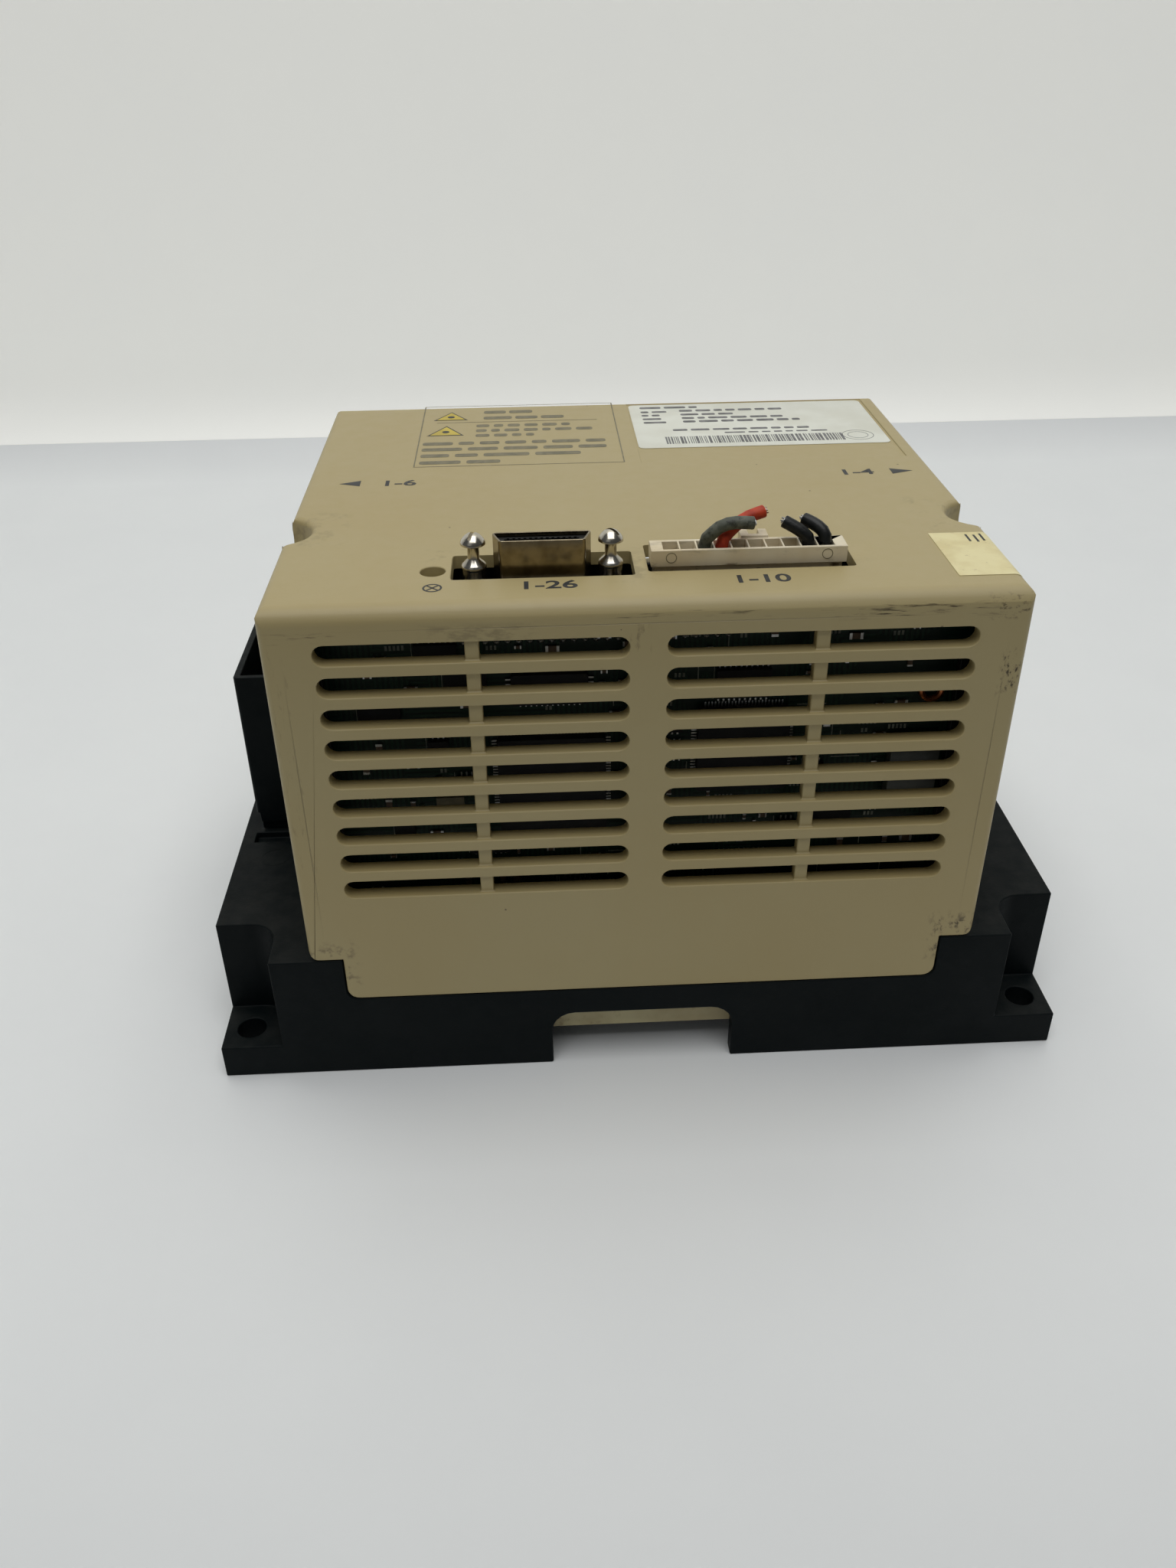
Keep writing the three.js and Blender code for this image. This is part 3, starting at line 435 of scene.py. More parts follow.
coverLook = {
    "color": (0.425, 0.348, 0.171),
    "other": (0.415, 0.331, 0.153),
    "dirt": (0.040, 0.025, 0.012),
    "scratch": (0.52, 0.45, 0.27),
    "scratchStrength": 0.16,
    "speckStrength": 0.7,
    "seam": (0.20, 0.155, 0.075),
    "seamStrength": 0.35,
    "roughness": 0.46,
    "gleamSwing": 0.16,
    "grainScale": 2.4,
    "grainHeight": 0.016,
    "seamDepth": 0.12,
    "dirtPlaces": {  # centre and half size in mm, strength, scale of the blotches, how much they cover
        "topEdgeRight": ((58, frontY + 1, topZ - 4), (26, 4, 2.2), 0.95, (0.07, 0.4, 0.9), 0.45),
        "topEdgeMiddle": ((10, frontY + 1, topZ - 3.6), (28, 4, 1.8), 0.80, (0.06, 0.4, 0.9), 0.38),
        "topEdgeLeft": ((-76, frontY + 1, topZ - 6.5), (9, 4, 1.6), 0.75, (0.10, 0.4, 0.9), 0.46),
        "cornerRight": ((80, frontY + 1, topZ - 4), (6, 4, 3.5), 0.85, (0.30, 0.4, 0.5), 0.46),
        "smearLeft": ((-37, frontY, topZ - 6.8), (15, 2, 3.2), 0.30, (0.08, 0.3, 0.25), 0.62),
        "smearMiddle": ((-2, frontY, topZ - 9), (3, 2, 5), 0.45, (0.35, 0.2, 0.12), 0.46),
        "rightEdge": ((82, frontY, topZ - 20), (3, 2, 7), 0.95, (0.7, 0.4, 0.35), 0.50),
        "leftEdge": ((-82, frontY, topZ - 40), (4, 2, 40), 0.25, (0.5, 0.4, 0.10), 0.40),
        "footLeft": ((-80, frontY, 37), (9, 2, 9), 0.55, (0.2, 0.2, 0.2), 0.46),
        "footRight": ((80, frontY, 39), (8, 2, 9), 0.90, (0.3, 0.2, 0.2), 0.52),
        "portLeft": ((-42, frontY + 30, topZ), (10, 6, 2), 0.22, (0.10, 0.12, 0.1), 0.50),
        "betweenPorts": ((-1, frontY + 20, topZ), (7, 12, 2), 0.20, (0.12, 0.12, 0.1), 0.60),
        "plugSides": ((24, frontY + 24, topZ), (34, 13, 2), 0.18, (0.08, 0.09, 0.1), 0.46),
        "gripLeft": ((-80, frontY + 48, topZ - 6), (12, 14, 9), 0.3, (0.12, 0.12, 0.12), 0.5),
        "gripRight": ((80, frontY + 48, topZ - 6), (12, 14, 9), 0.3, (0.12, 0.12, 0.12), 0.5),
    },
    "seams": {  # centre and half size in mm
        "left": ((-80.5, frontY, 84), (0.16, 1, 44)),
        "right": ((80.5, frontY, 84), (0.16, 1, 44)),
        "top": ((0, frontY, topZ - 5.2), (80, 1, 0.16)),
    },
}


def coverDirt(tree, place):
    total = 0.0
    for centre, reach, strength, stretch, cover in coverLook["dirtPlaces"].values():
        where = useGroup(tree, "place", place, Centre=centre, Reach=reach, Fade=0.6)
        wide = vectorCalc(tree, "MULTIPLY", place, stretch)
        blotch = useGroup(tree, "stain", wide, Scale=2.0, Cover=cover)
        total = calc(tree, "MAXIMUM", total, times(tree, times(tree, where, blotch), strength))
    return total


def coverSeams(tree, place):
    total = 0.0
    for centre, reach in coverLook["seams"].values():
        where = useGroup(tree, "place", place, Centre=centre, Reach=reach, Fade=0.9)
        total = calc(tree, "MAXIMUM", total, where)
    return total


def makeCoverPlastic():
    material, tree, shader = startMaterial("coverPlastic")
    place = inMillimetres(tree)
    color = driftingColor(tree, place, coverLook, 0.012)
    seams = coverSeams(tree, place)
    specks = useGroup(tree, "specks", place, Scale=0.11, Size=0.035, Amount=0.4)
    alongX = vectorCalc(tree, "MULTIPLY", place, (0.12, 1, 1))
    scratches = useGroup(tree, "scratches", alongX, Scale=0.22, Amount=0.10)
    color = layOver(tree, color, scratches, coverLook["scratchStrength"], coverLook["scratch"])
    color = layOver(tree, color, seams, coverLook["seamStrength"], coverLook["seam"])
    dirt = calc(tree, "MAXIMUM", coverDirt(tree, place), times(tree, specks, coverLook["speckStrength"]))
    color = layOver(tree, color, dirt, 1.0, coverLook["dirt"])
    finishMaterial(tree, shader, place, coverLook, color, times(tree, seams, -coverLook["seamDepth"]))
    return material


ivoryLook = {
    "color": (0.77, 0.69, 0.51),
    "other": (0.69, 0.58, 0.38),
    "dirt": (0.10, 0.065, 0.03),
    "dirtyTo": -1.5,  # mm from the cover's top: the plug is darkest below the first height and keeps its own colour above the second
    "cleanFrom": 3.2,
    "roughness": 0.38,
    "grainScale": 2.0,
    "grainHeight": 0.008,
}


def makeIvory():
    material, tree, shader = startMaterial("connectorIvory")
    place = inMillimetres(tree)
    color = driftingColor(tree, place, ivoryLook, 0.08)
    height = axesOf(tree, place)[2]
    # the plug is darker towards the bottom: streaks stretched along x, denser low down, plus an even
    # darkening
    low = fromOne(tree, spread(tree, height, topZ + ivoryLook["dirtyTo"], topZ + ivoryLook["cleanFrom"]))
    alongX = vectorCalc(tree, "MULTIPLY", place, (0.3, 1, 1))
    blotch = useGroup(tree, "stain", alongX, Scale=0.5, Cover=0.45)
    mask = times(tree, calc(tree, "ADD", times(tree, low, 0.55), 0.22), blotch)
    dirt = calc(tree, "ADD", mask, times(tree, low, 0.30))
    color = layOver(tree, color, dirt, 1.0, ivoryLook["dirt"])
    finishMaterial(tree, shader, place, ivoryLook, color)
    return material


boardLook = {
    "color": (0.0035, 0.020, 0.011),
    "other": (0.0025, 0.014, 0.008),
    "track": (0.0065, 0.032, 0.017),
    "roughness": 0.36,
    "specular": 0.25,
    "gleamSwing": 0.15,
    "grainScale": 4.0,
    "grainHeight": 0.006,
    "trackHeight": 0.03,
    "dust": 0.16,
}


def makeCircuitBoard():
    material, tree, shader = startMaterial("circuitBoard")
    place = inMillimetres(tree)
    color = driftingColor(tree, place, boardLook, 0.05)
    cells = put(tree, "TexVoronoi", {"Vector": place, "Scale": 0.09}, distance="MANHATTAN").outputs["Color"]
    way = put(tree, "SeparateColor", {0: cells}).outputs[0]
    axes = axesOf(tree, place)
    alongX = times(tree, axes[0], calc(tree, "GREATER_THAN", way, 0.5))
    otherWay = times(tree, calc(tree, "ADD", axes[1], axes[2]), calc(tree, "LESS_THAN", way, 0.5))
    across = times(tree, calc(tree, "ADD", alongX, otherWay), 0.8)
    tooth = calc(tree, "ABSOLUTE", calc(tree, "SUBTRACT", calc(tree, "FRACT", across), 0.5))
    track = times(tree, spread(tree, tooth, 0.22, 0.28), calc(tree, "GREATER_THAN", way, 0.22))
    color = blendColors(tree, track, color, (*boardLook["track"], 1))
    # dust on the board's upward faces, partly a painted sheen that makes them lighter
    color = layOver(tree, color, useGroup(tree, "dust", place, Scale=0.12), boardLook["dust"], dustAndSheenColor)
    finishMaterial(tree, shader, place, boardLook, color, times(tree, track, boardLook["trackHeight"]))
    return material


stripLook = {
    "color": (0.50, 0.44, 0.24),
    "other": (0.40, 0.33, 0.17),
    "blotch": (0.16, 0.09, 0.035),
    "roughness": 0.5,
    "grainHeight": 0.01,
}


def makeLabelPlastic():  # the aged strip behind the front arch
    material, tree, shader = startMaterial("labelPlastic")
    place = inMillimetres(tree)
    color = driftingColor(tree, place, stripLook, 0.08)
    blotch = useGroup(tree, "stain", place, Scale=0.25, Cover=0.42)
    color = layOver(tree, color, blotch, 0.5, stripLook["blotch"])
    finishMaterial(tree, shader, place, stripLook, color)
    return material


materials["coverPlastic"] = makeCoverPlastic()
materials["connectorIvory"] = makeIvory()
materials["circuitBoard"] = makeCircuitBoard()
materials["labelPlastic"] = makeLabelPlastic()
print("materials done:", len(materials))


# mesh helpers, in millimetres until addPiece brings them to metres


def addBox(bm, x0, x1, y0, y1, z0, z1):
    middle = Matrix.Translation(((x0 + x1) / 2, (y0 + y1) / 2, (z0 + z1) / 2))
    bmesh.ops.create_cube(bm, size=1, matrix=middle @ Matrix.Diagonal((x1 - x0, y1 - y0, z1 - z0, 1)))


def addRing(bm, sections, closed=True):  # joins lists of points into a skin
    rows = [[bm.verts.new(point) for point in section] for section in sections]
    pairs = list(zip(rows, rows[1:])) + ([(rows[-1], rows[0])] if closed else [])
    count = len(rows[0])
    for low, high in pairs:
        for i in range(count):
            j = (i + 1) % count
            bm.faces.new((low[i], low[j], high[j], high[i]))
    if not closed:
        bm.faces.new(list(reversed(rows[0])))
        bm.faces.new(rows[-1])


def addPrism(bm, points, z0, z1):
    addRing(bm, [[(x, y, z) for x, y in points] for z in (z0, z1)], closed=False)


def circlePoints(x, y, radius, sides):
    turns = [2 * math.pi * i / sides for i in range(sides)]
    return [(x + radius * math.cos(turn), y + radius * math.sin(turn)) for turn in turns]


def addLathe(bm, x, y, profile, sides, closed=False):  # profile: (radius, height) upwards
    rings = [[(*point, z) for point in circlePoints(x, y, radius, sides)] for radius, z in profile]
    addRing(bm, rings, closed)


def addHoop(bm, x, y, inner, outer, z0, z1, sides=32):
    addLathe(bm, x, y, ((inner, z0), (outer, z0), (outer, z1), (inner, z1)), sides, closed=True)


def roundedPoints(x0, x1, y0, y1, radius, steps=4):
    corners = ((x0, y0, 1, 1), (x1, y0, -1, 1), (x1, y1, -1, -1), (x0, y1, 1, -1))
    points = []
    for number, (x, y, inX, inY) in enumerate(corners):
        for i in range(steps + 1):
            turn = math.pi * (1 + number / 2 + i / steps / 2)
            points.append((x + radius * (inX + math.cos(turn)), y + radius * (inY + math.sin(turn))))
    return points


def shadeByAngle(mesh, angle=38):
    mesh.shade_smooth()
    mesh.set_sharp_from_angle(angle=math.radians(angle))


def applyModifiers(piece):
    graph = bpy.context.evaluated_depsgraph_get()
    mesh = bpy.data.meshes.new_from_object(piece.evaluated_get(graph), depsgraph=graph)
    piece.modifiers.clear()
    piece.data = mesh


def meshOf(bm, name):
    mesh = bpy.data.meshes.new(name)
    bm.to_mesh(mesh)
    bm.free()
    return mesh


def dress(piece, material, body, slot):
    piece.data.materials.clear()
    piece.data.materials.append(materials[material])
    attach(piece, body)


def addPiece(name, bm, material, body, slot, bevel=0.0, segments=2):
    bmesh.ops.recalc_face_normals(bm, faces=bm.faces)
    bm.transform(Matrix.Scale(mm, 4))
    piece = addObject(name, meshOf(bm, name))
    if bevel:
        rounding = piece.modifiers.new("edges", "BEVEL")
        rounding.width = bevel * mm
        rounding.segments = segments
        rounding.limit_method = "ANGLE"
        rounding.angle_limit = math.radians(30)
        applyModifiers(piece)
    shadeByAngle(piece.data)
    dress(piece, material, body, slot)
    return piece


def uprightOf(node):  # the middle, radius, foot and top of a round piece that stands
    low, high = boxOf(node)
    return (low.x + high.x) / 2, (low.y + high.y) / 2, (high.x - low.x) / 2, low.z, high.z


# every CAD node comes back with rounded edges, where its neighbours leave room for them

edges = {
    "room": 0.42,  # the share of the way to the next edge that one rounding may take
    "sharp": 30,  # degrees
    "usual": 0.3,  # mm
    "screw": 0.2,
    "widths": {
        "cover": 0.38,
        "base_frame": 0.4,
        "io_port_shell": 0.18,
        "io_port_insert": 0.1,
        "io_port_bracket": 0.2,
        "wire_plug": 0.2,
        "wire_header": 0.2,
        "control_board": 0.1,
        "power_board": 0.1,
    },
}
ownMaterial = {"io_port_shell": "shellMetal", "io_port_bracket": "dullSteel"}
capacitors = [f"bus_capacitor_{number}" for number in range(1, 5)]
ownShape = ["jack_post_left", "jack_post_right", "line_choke"] + capacitors


def distanceTo(vert, edge):
    start = edge.verts[0].co
    along = edge.verts[1].co - start
    share = (vert.co - start).dot(along) / max(along.length_squared, 1e-12)
    return (vert.co - start - along * min(1.0, max(0.0, share))).length


# A rounding stops short of the nearest other corner of its faces, and of any edge that passes close by.
def edgeWeights(bm, width):
    layer = bm.edges.layers.float.new("bevel_weight_edge")
    sharp = [edge for edge in bm.edges if edge.calc_face_angle(0) >= math.radians(edges["sharp"])]
    room = {edge: 1.0 for edge in sharp}
    closest = {}
    for edge in sharp:
        for face in edge.link_faces:
            for vert in face.verts:
                if vert not in edge.verts:
                    distance = distanceTo(vert, edge)
                    room[edge] = min(room[edge], distance)
                    closest[vert, face] = min(closest.get((vert, face), 1.0), distance)
    for edge in sharp:
        nearby = [closest.get((vert, face), 1.0) for vert in edge.verts for face in edge.link_faces]
        edge[layer] = min(1.0, edges["room"] * min(room[edge], *nearby) / width)


def wholeFaces(node):  # a copy of a CAD mesh with its flat faces whole again
    bm = bmesh.new()
    bm.from_mesh(cadNodes[node].data)
    bmesh.ops.remove_doubles(bm, verts=bm.verts, dist=0.002 * mm)
    bmesh.ops.dissolve_limit(bm, angle_limit=math.radians(0.6), verts=bm.verts, edges=bm.edges)
    return bm


# The rounding leaves some many-sided faces a little bent, so they are cut before they can fold.
def cutWideFaces(mesh):
    bm = bmesh.new()
    bm.from_mesh(mesh)
    wide = [face for face in bm.faces if len(face.verts) > 4]
    bmesh.ops.triangulate(bm, faces=wide, ngon_method="BEAUTY")
    bm.to_mesh(mesh)
    bm.free()


def soften(node, width):
    bm = wholeFaces(node)
    edgeWeights(bm, width * mm)
    piece = addObject("fine_" + node, meshOf(bm, "fine_" + node))
    rounding = piece.modifiers.new("edges", "BEVEL")
    rounding.width = width * mm
    rounding.segments = 2
    rounding.limit_method = "WEIGHT"
    rounding.use_clamp_overlap = False
    rounding.loop_slide = False
    applyModifiers(piece)
    cutWideFaces(piece.data)
    shadeByAngle(piece.data)
    piece.modifiers.new("normals", "WEIGHTED_NORMAL").keep_sharp = True
    applyModifiers(piece)
    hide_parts(node)
    slot = nodeSlot[node]
    dress(piece, ownMaterial.get(node, materialOf(slot)), nodeBody[node], slot)


def materialOf(slot):  # cover_plastic is made as coverPlastic
    first, *others = slot.split("_")
    return first + "".join(word.capitalize() for word in others)


def softenAll():
    for node in sorted(cadNodes):
        if node not in ownShape:
            usual = edges["screw"] if "screw" in node else edges["usual"]
            soften(node, edges["widths"].get(node, usual))


softenAll()
print("softened pieces done")


# marks printed on the cover, and its labels

printing = {
    "ink": 0.03,  # mm thick
    "gap": 0.01,  # from the face under it
    "capHeight": 4.1,
    "capShare": 0.7,  # of the letters' size
    "bolder": 0.12,
    "widen": 1.25,  # the numerals are wide ones
    "marks": {  # words, middle x, the foot of the numerals from the front
        "port_numbers": ("1-26", -21.7, 8.4),
        "plug_numbers": ("1-10", 25.9, 8.5),
        "left_numbers": ("1-6", -60.0, 78.8),
        "right_numbers": ("1-4", 63.2, 78.2),
    },
    "arrows": ((-75.8, -70.2, 81.2), (78.6, 72.7, 80.1)),  # tip x, tail x, from the front
    "arrowHalf": 2.2,
    "lampMark": (-47.3, 10.4, 2.2),  # x, from the front, radius
    "lampLines": (0.45, 0.22),  # the ring's width, half the cross's
}


def inkOn(face):  # the foot and the top of a print
    foot = face + printing["gap"]
    return foot, foot + printing["ink"]


def addNumerals(name, words, x, fromFront):
    curve = bpy.data.curves.new(name + "_curve", "FONT")
    curve.body = words
    curve.align_x = "CENTER"
    curve.size = printing["capHeight"] / printing["capShare"] * mm
    curve.extrude = printing["ink"] / 2 * mm
    curve.offset = printing["bolder"] * mm
    curve.resolution_u = 4
    source = addObject(name + "_source", curve)
    graph = bpy.context.evaluated_depsgraph_get()
    mesh = bpy.data.meshes.new_from_object(source.evaluated_get(graph), depsgraph=graph)
    bpy.data.objects.remove(source)
    place = Vector((x, frontY + fromFront, sum(inkOn(topZ)) / 2)) * mm
    mesh.transform(Matrix.Translation(place) @ Matrix.Diagonal((printing["widen"], 1, 1, 1)))
    dress(addObject(name, mesh), "printDark", "cover", "cover_plastic")


def makeArrowsAndLampMark():
    bm = bmesh.new()
    low, high = inkOn(topZ)
    half = printing["arrowHalf"]
    for tip, tail, fromFront in printing["arrows"]:
        y = frontY + fromFront
        addPrism(bm, [(tip, y), (tail, y - half), (tail, y + half)], low, high)
    x, fromFront, radius = printing["lampMark"]
    y = frontY + fromFront
    ring, cross = printing["lampLines"]
    addHoop(bm, x, y, radius - ring, radius, low, high)
    for turn in (math.pi / 4, -math.pi / 4):
        along = Vector((math.cos(turn), math.sin(turn))) * (radius - 0.4)
        side = Vector((-math.sin(turn), math.cos(turn))) * cross
        corners = (along + side, side - along, -along - side, along - side)
        addPrism(bm, [(x + corner.x, y + corner.y) for corner in corners], low + 0.001, high + 0.001)
    addPiece("direction_and_lamp_marks", bm, "printDark", "cover", "cover_plastic")


notice = {
    "seed": 11,
    "left": -57.0,
    "right": 1.6,
    "front": 93.4,
    "back": 152.0,
    "line": 0.35,
    "divider": (-52.5, -4.0, 134.4),  # from, to, foot
    "signs": ((-48.4, 137.0, 10.3, 8.6), (-49.4, 121.6, 10.8, 9.6)),  # middle x, foot, width, height
    "signInside": (0.84, 0.055),  # the yellow part's share of the sign, and how far up it starts
    "dot": (0.36, 1.1),  # its share of the height, its radius
    "words": {"title": (5, 9, 1.0), "small": (2.4, 5, 1.3), "main": (4, 13, 1.6)},  # shortest, longest, gap
    "rows": (  # from, to, foot, height, kind of words
        (-38.5, -23.5, 143.2, 3.0, "title"), (-38.5, -12.0, 137.2, 2.9, "title"),
        (-40.5, -12.0, 129.4, 2.6, "small"), (-40.5, -4.0, 124.6, 2.6, "small"),
        (-40.5, -20.5, 119.8, 2.6, "small"), (-55.6, -2.6, 112.6, 2.8, "main"),
        (-55.6, -2.6, 107.2, 2.8, "main"), (-55.6, -9.0, 101.6, 2.8, "main"),
        (-55.6, -33.0, 95.6, 2.8, "main"),
    ),
}


def addWords(bm, rng, row, words, low, high):  # bars with the lengths of words
    x, end, foot, height = row
    shortest, longest, gap = words
    y = frontY + foot
    while x < end - shortest:
        length = min(rng.uniform(shortest, longest), end - x)
        addPrism(bm, roundedPoints(x, x + length, y, y + height, height * 0.3, 2), low, high)
        x += length + gap


def makeNotice():
    rng = random.Random(notice["seed"])
    low, high = inkOn(topZ)
    lines = bmesh.new()
    left, right, line = notice["left"], notice["right"], notice["line"]
    front, back = frontY + notice["front"], frontY + notice["back"]
    addBox(lines, left, right, front, front + line, low, high)
    addBox(lines, left, right, back - line, back, low, high)
    addBox(lines, left, left + line, front + line, back - line, low, high)
    addBox(lines, right - line, right, front + line, back - line, low, high)
    start, end, foot = notice["divider"]
    addBox(lines, start, end, frontY + foot, frontY + foot + line, low, high)
    for *row, kind in notice["rows"]:
        addWords(lines, rng, row, notice["words"][kind], low, high)
    addPiece("notice_lines", lines, "printFaded", "cover", "cover_plastic")

    signs, rims = bmesh.new(), bmesh.new()
    inner, shift = notice["signInside"]
    dotAt, dotRadius = notice["dot"]
    top = high + printing["ink"]
    for x, foot, width, height in notice["signs"]:
        y = frontY + foot
        addPrism(rims, [(x - width / 2, y), (x + width / 2, y), (x, y + height)], low, high)
        half, start = width / 2 * inner, y + height * shift
        triangle = [(x - half, start), (x + half, start), (x, start + height * inner)]
        addPrism(signs, triangle, high + 0.002, top)
        dot = circlePoints(x, y + height * dotAt, dotRadius, 16)
        addPrism(rims, dot, top + 0.002, top + printing["ink"])
    addPiece("notice_sign_edges", rims, "printDark", "cover", "cover_plastic")
    addPiece("notice_signs", signs, "signYellow", "cover", "cover_plastic")


ratingLabel = {
    "seed": 23,
    "left": 6.6,
    "right": 79.6,
    "front": 106.0,
    "back": 149.3,
    "corner": 1.8,
    "thickness": 0.14,
    "recess": 0.4,
    "words": (2.0, 7.0, 1.0),  # shortest, longest, gap
    "rows": (  # from, to, foot, height
        (10.0, 28.0, 145.0, 1.9), (10.0, 18.0, 140.6, 1.7), (22.0, 56.0, 141.2, 1.9),
        (10.0, 18.0, 137.0, 1.7), (22.0, 40.0, 137.2, 1.8), (10.0, 18.0, 133.2, 1.7),
        (22.0, 53.0, 133.4, 1.9), (10.0, 18.0, 129.6, 1.7), (22.0, 58.0, 129.8, 2.0),
        (18.0, 60.0, 121.6, 1.7), (33.0, 64.0, 118.4, 1.1),
    ),
    "stripes": (15.0, 66.5, 109.4, 116.0),  # from, to, foot, head
    "stripeWidths": (0.25, 0.25, 0.5, 0.75),
    "stripeGaps": (0.25, 0.35, 0.55),
    "stamp": (71.5, 113.6, 4.6),  # x, from the front, radius
}


def makeRatingLabel():
    rng = random.Random(ratingLabel["seed"])
    seat = topZ - ratingLabel["recess"] + 0.01
    top = seat + ratingLabel["thickness"]
    front, back = frontY + ratingLabel["front"], frontY + ratingLabel["back"]
    paper = bmesh.new()
    outline = roundedPoints(ratingLabel["left"], ratingLabel["right"], front, back, ratingLabel["corner"])
    addPrism(paper, outline, seat, top)
    addPiece("rating_label", paper, "labelPaper", "cover", "cover_plastic", bevel=0.04)
    ink = bmesh.new()
    low, high = inkOn(top)
    for row in ratingLabel["rows"]:
        addWords(ink, rng, row, ratingLabel["words"], low, high)
    x, end, foot, head = ratingLabel["stripes"]
    while x < end:
        width = rng.choice(ratingLabel["stripeWidths"])
        addBox(ink, x, x + width, frontY + foot, frontY + head, low, high)
        x += width + rng.choice(ratingLabel["stripeGaps"])
    x, fromFront, radius = ratingLabel["stamp"]
    addHoop(ink, x, frontY + fromFront, radius - 0.18, radius, low, high, 40)
    addHoop(ink, x, frontY + fromFront, radius * 0.62, radius * 0.62 + 0.16, low, high, 32)
    addPiece("rating_label_marks", ink, "labelInk", "cover", "cover_plastic")


tape = {
    "left": 70.0,
    "right": 84.4,
    "front": 8.6,
    "back": 34.2,
    "sideRadius": 2.4,  # of the cover's edge, which the tape follows
    "lift": 0.05,
    "thickness": 0.07,
    "steps": (24, 12),
    "tally": ((78.6, 30.6), (80.4, 30.2), (82.0, 30.8)),  # middle x and y of three pen strokes
    "stroke": (0.55, 4.4, 0.02),  # width, length, thickness
}


def coverSurface(x):
    past = max(0.0, abs(x) - (coverHigh.x - tape["sideRadius"]))
    return topZ - tape["sideRadius"] + math.sqrt(max(0.0, tape["sideRadius"] ** 2 - past ** 2))


def addDrapedSheet(bm, x0, x1, y0, y1, lift, thickness, steps):
    columns, rows = steps
    skins = []
    for level in (lift, lift + thickness):
        skin = []
        for i in range(columns + 1):
            x = x0 + (x1 - x0) * i / columns
            ys = [y0 + (y1 - y0) * j / rows for j in range(rows + 1)]
            skin.append([bm.verts.new((x, y, coverSurface(x) + level)) for y in ys])
        skins.append(skin)
    low, high = skins
    for i in range(columns):
        for j in range(rows):
            bm.faces.new((low[i][j], low[i][j + 1], low[i + 1][j + 1], low[i + 1][j]))
            bm.faces.new((high[i][j], high[i + 1][j], high[i + 1][j + 1], high[i][j + 1]))
    border = [(i, 0) for i in range(columns)] + [(columns, j) for j in range(rows)]
    border += [(i, rows) for i in range(columns, 0, -1)] + [(0, j) for j in range(rows, 0, -1)]
    for (i, j), (k, l) in zip(border, border[1:] + border[:1]):
        bm.faces.new((low[i][j], low[k][l], high[k][l], high[i][j]))


def makeTape():
    sheet, strokes = bmesh.new(), bmesh.new()
    y0, y1 = frontY + tape["front"], frontY + tape["back"]
    lift, thickness = tape["lift"], tape["thickness"]
    addDrapedSheet(sheet, tape["left"], tape["right"], y0, y1, lift, thickness, tape["steps"])
    addPiece("tape_label", sheet, "tapePaper", "cover", "cover_plastic")
    width, length, ink = tape["stroke"]
    above = lift + thickness + 0.01
    for middle, fromFront in tape["tally"]:
        x0, y0 = middle - width / 2, frontY + fromFront - length / 2
        addDrapedSheet(strokes, x0, x0 + width, y0, y0 + length, above, ink, (2, 4))
    addPiece("tape_tally", strokes, "printDark", "cover", "cover_plastic")


def makePrints():
    for name, (words, x, fromFront) in printing["marks"].items():
        addNumerals(name, words, x, fromFront)
    makeArrowsAndLampMark()
    makeNotice()
    makeRatingLabel()
    makeTape()


makePrints()
print("prints and labels done")


# moulding marks and the strip's print

mouldMarks = {
    "plugCircle": (1.25, 0.16, 4.6, 2.4),  # radius, line, distance in from each end and from the top
    "deckCircle": (4.0, 0.35, 0.05),  # radius, line, height
    "deckPlaces": ((100, 10), (93, -44), (-101, -30), (100, 50)),
    "stripMarks": ((-24, 4.2), (-17.5, 2.6), (-12.5, 5.2), (-4, 3.4), (3, 5.0), (11, 2.2), (15.5, 5.6)),
    "stripMarkFoot": 16.3,
    "stripMarkHeight": 2.2,
}


def addWallHoop(bm, x, y, z, inner, outer, sides=28):  # a thin ring on a face that looks to the front
    rings = []
    for radius, out in ((inner, 0.0), (outer, 0.0), (outer, -0.04), (inner, -0.04)):
        rings.append([(a, y + out, b) for a, b in circlePoints(x, z, radius, sides)])
    addRing(bm, rings)


def makeMouldMarks():
    low, high = boxOf("wire_plug")
    radius, line, inward, down = mouldMarks["plugCircle"]
    plugMarks, deckMarks, stripMarks = (bmesh.new() for _ in range(3))
    for x in (low.x + inward, high.x - inward):
        addWallHoop(plugMarks, x, low.y - 0.01, high.z - down, radius - line, radius)
    addPiece("plug_ejector_marks", plugMarks, "printFaded", "wire_plug", "connector_ivory")
    radius, line, height = mouldMarks["deckCircle"]
    foot = deckZ + 0.01
    for x, y in mouldMarks["deckPlaces"]:
        addHoop(deckMarks, x, y, radius - line, radius, foot, foot + height)
    addPiece("deck_ejector_marks", deckMarks, "basePlastic", "root", "base_plastic")
    face = boxOf("label_plate")[0].y
    foot = mouldMarks["stripMarkFoot"]
    for x, width in mouldMarks["stripMarks"]:
        addBox(stripMarks, x, x + width, face - 0.03, face - 0.01, foot, foot + mouldMarks["stripMarkHeight"])
    addPiece("strip_marks", stripMarks, "printDark", "root", "label_plastic")


makeMouldMarks()
print("moulding marks done")


# cut wire ends

strand = {
    "radius": 0.19,
    "count": 7,
    "ringRadius": 0.55,
    "out": (0.3, 0.9),  # shortest and longest, mm
    "lean": 0.25,
    "core": 1.0,
}
wireNodes = {  # their seeds, and what the strands are of
    "grey_wire": (31, "solderTin"),
    "red_wire": (37, "wireCopper"),
    "black_wire_inner": (41, "solderTin"),
    "black_wire_outer": (43, "solderTin"),
}


def wireEnd(node):  # the middle and the direction of the cut face
    bm = wholeFaces(node)
    caps = [face for face in bm.faces if len(face.verts) >= 8]
    cap = max(caps, key=lambda face: face.calc_center_median().z)
    middle, normal = cap.calc_center_median() / mm, cap.normal.copy()
    bm.free()
    return middle, normal


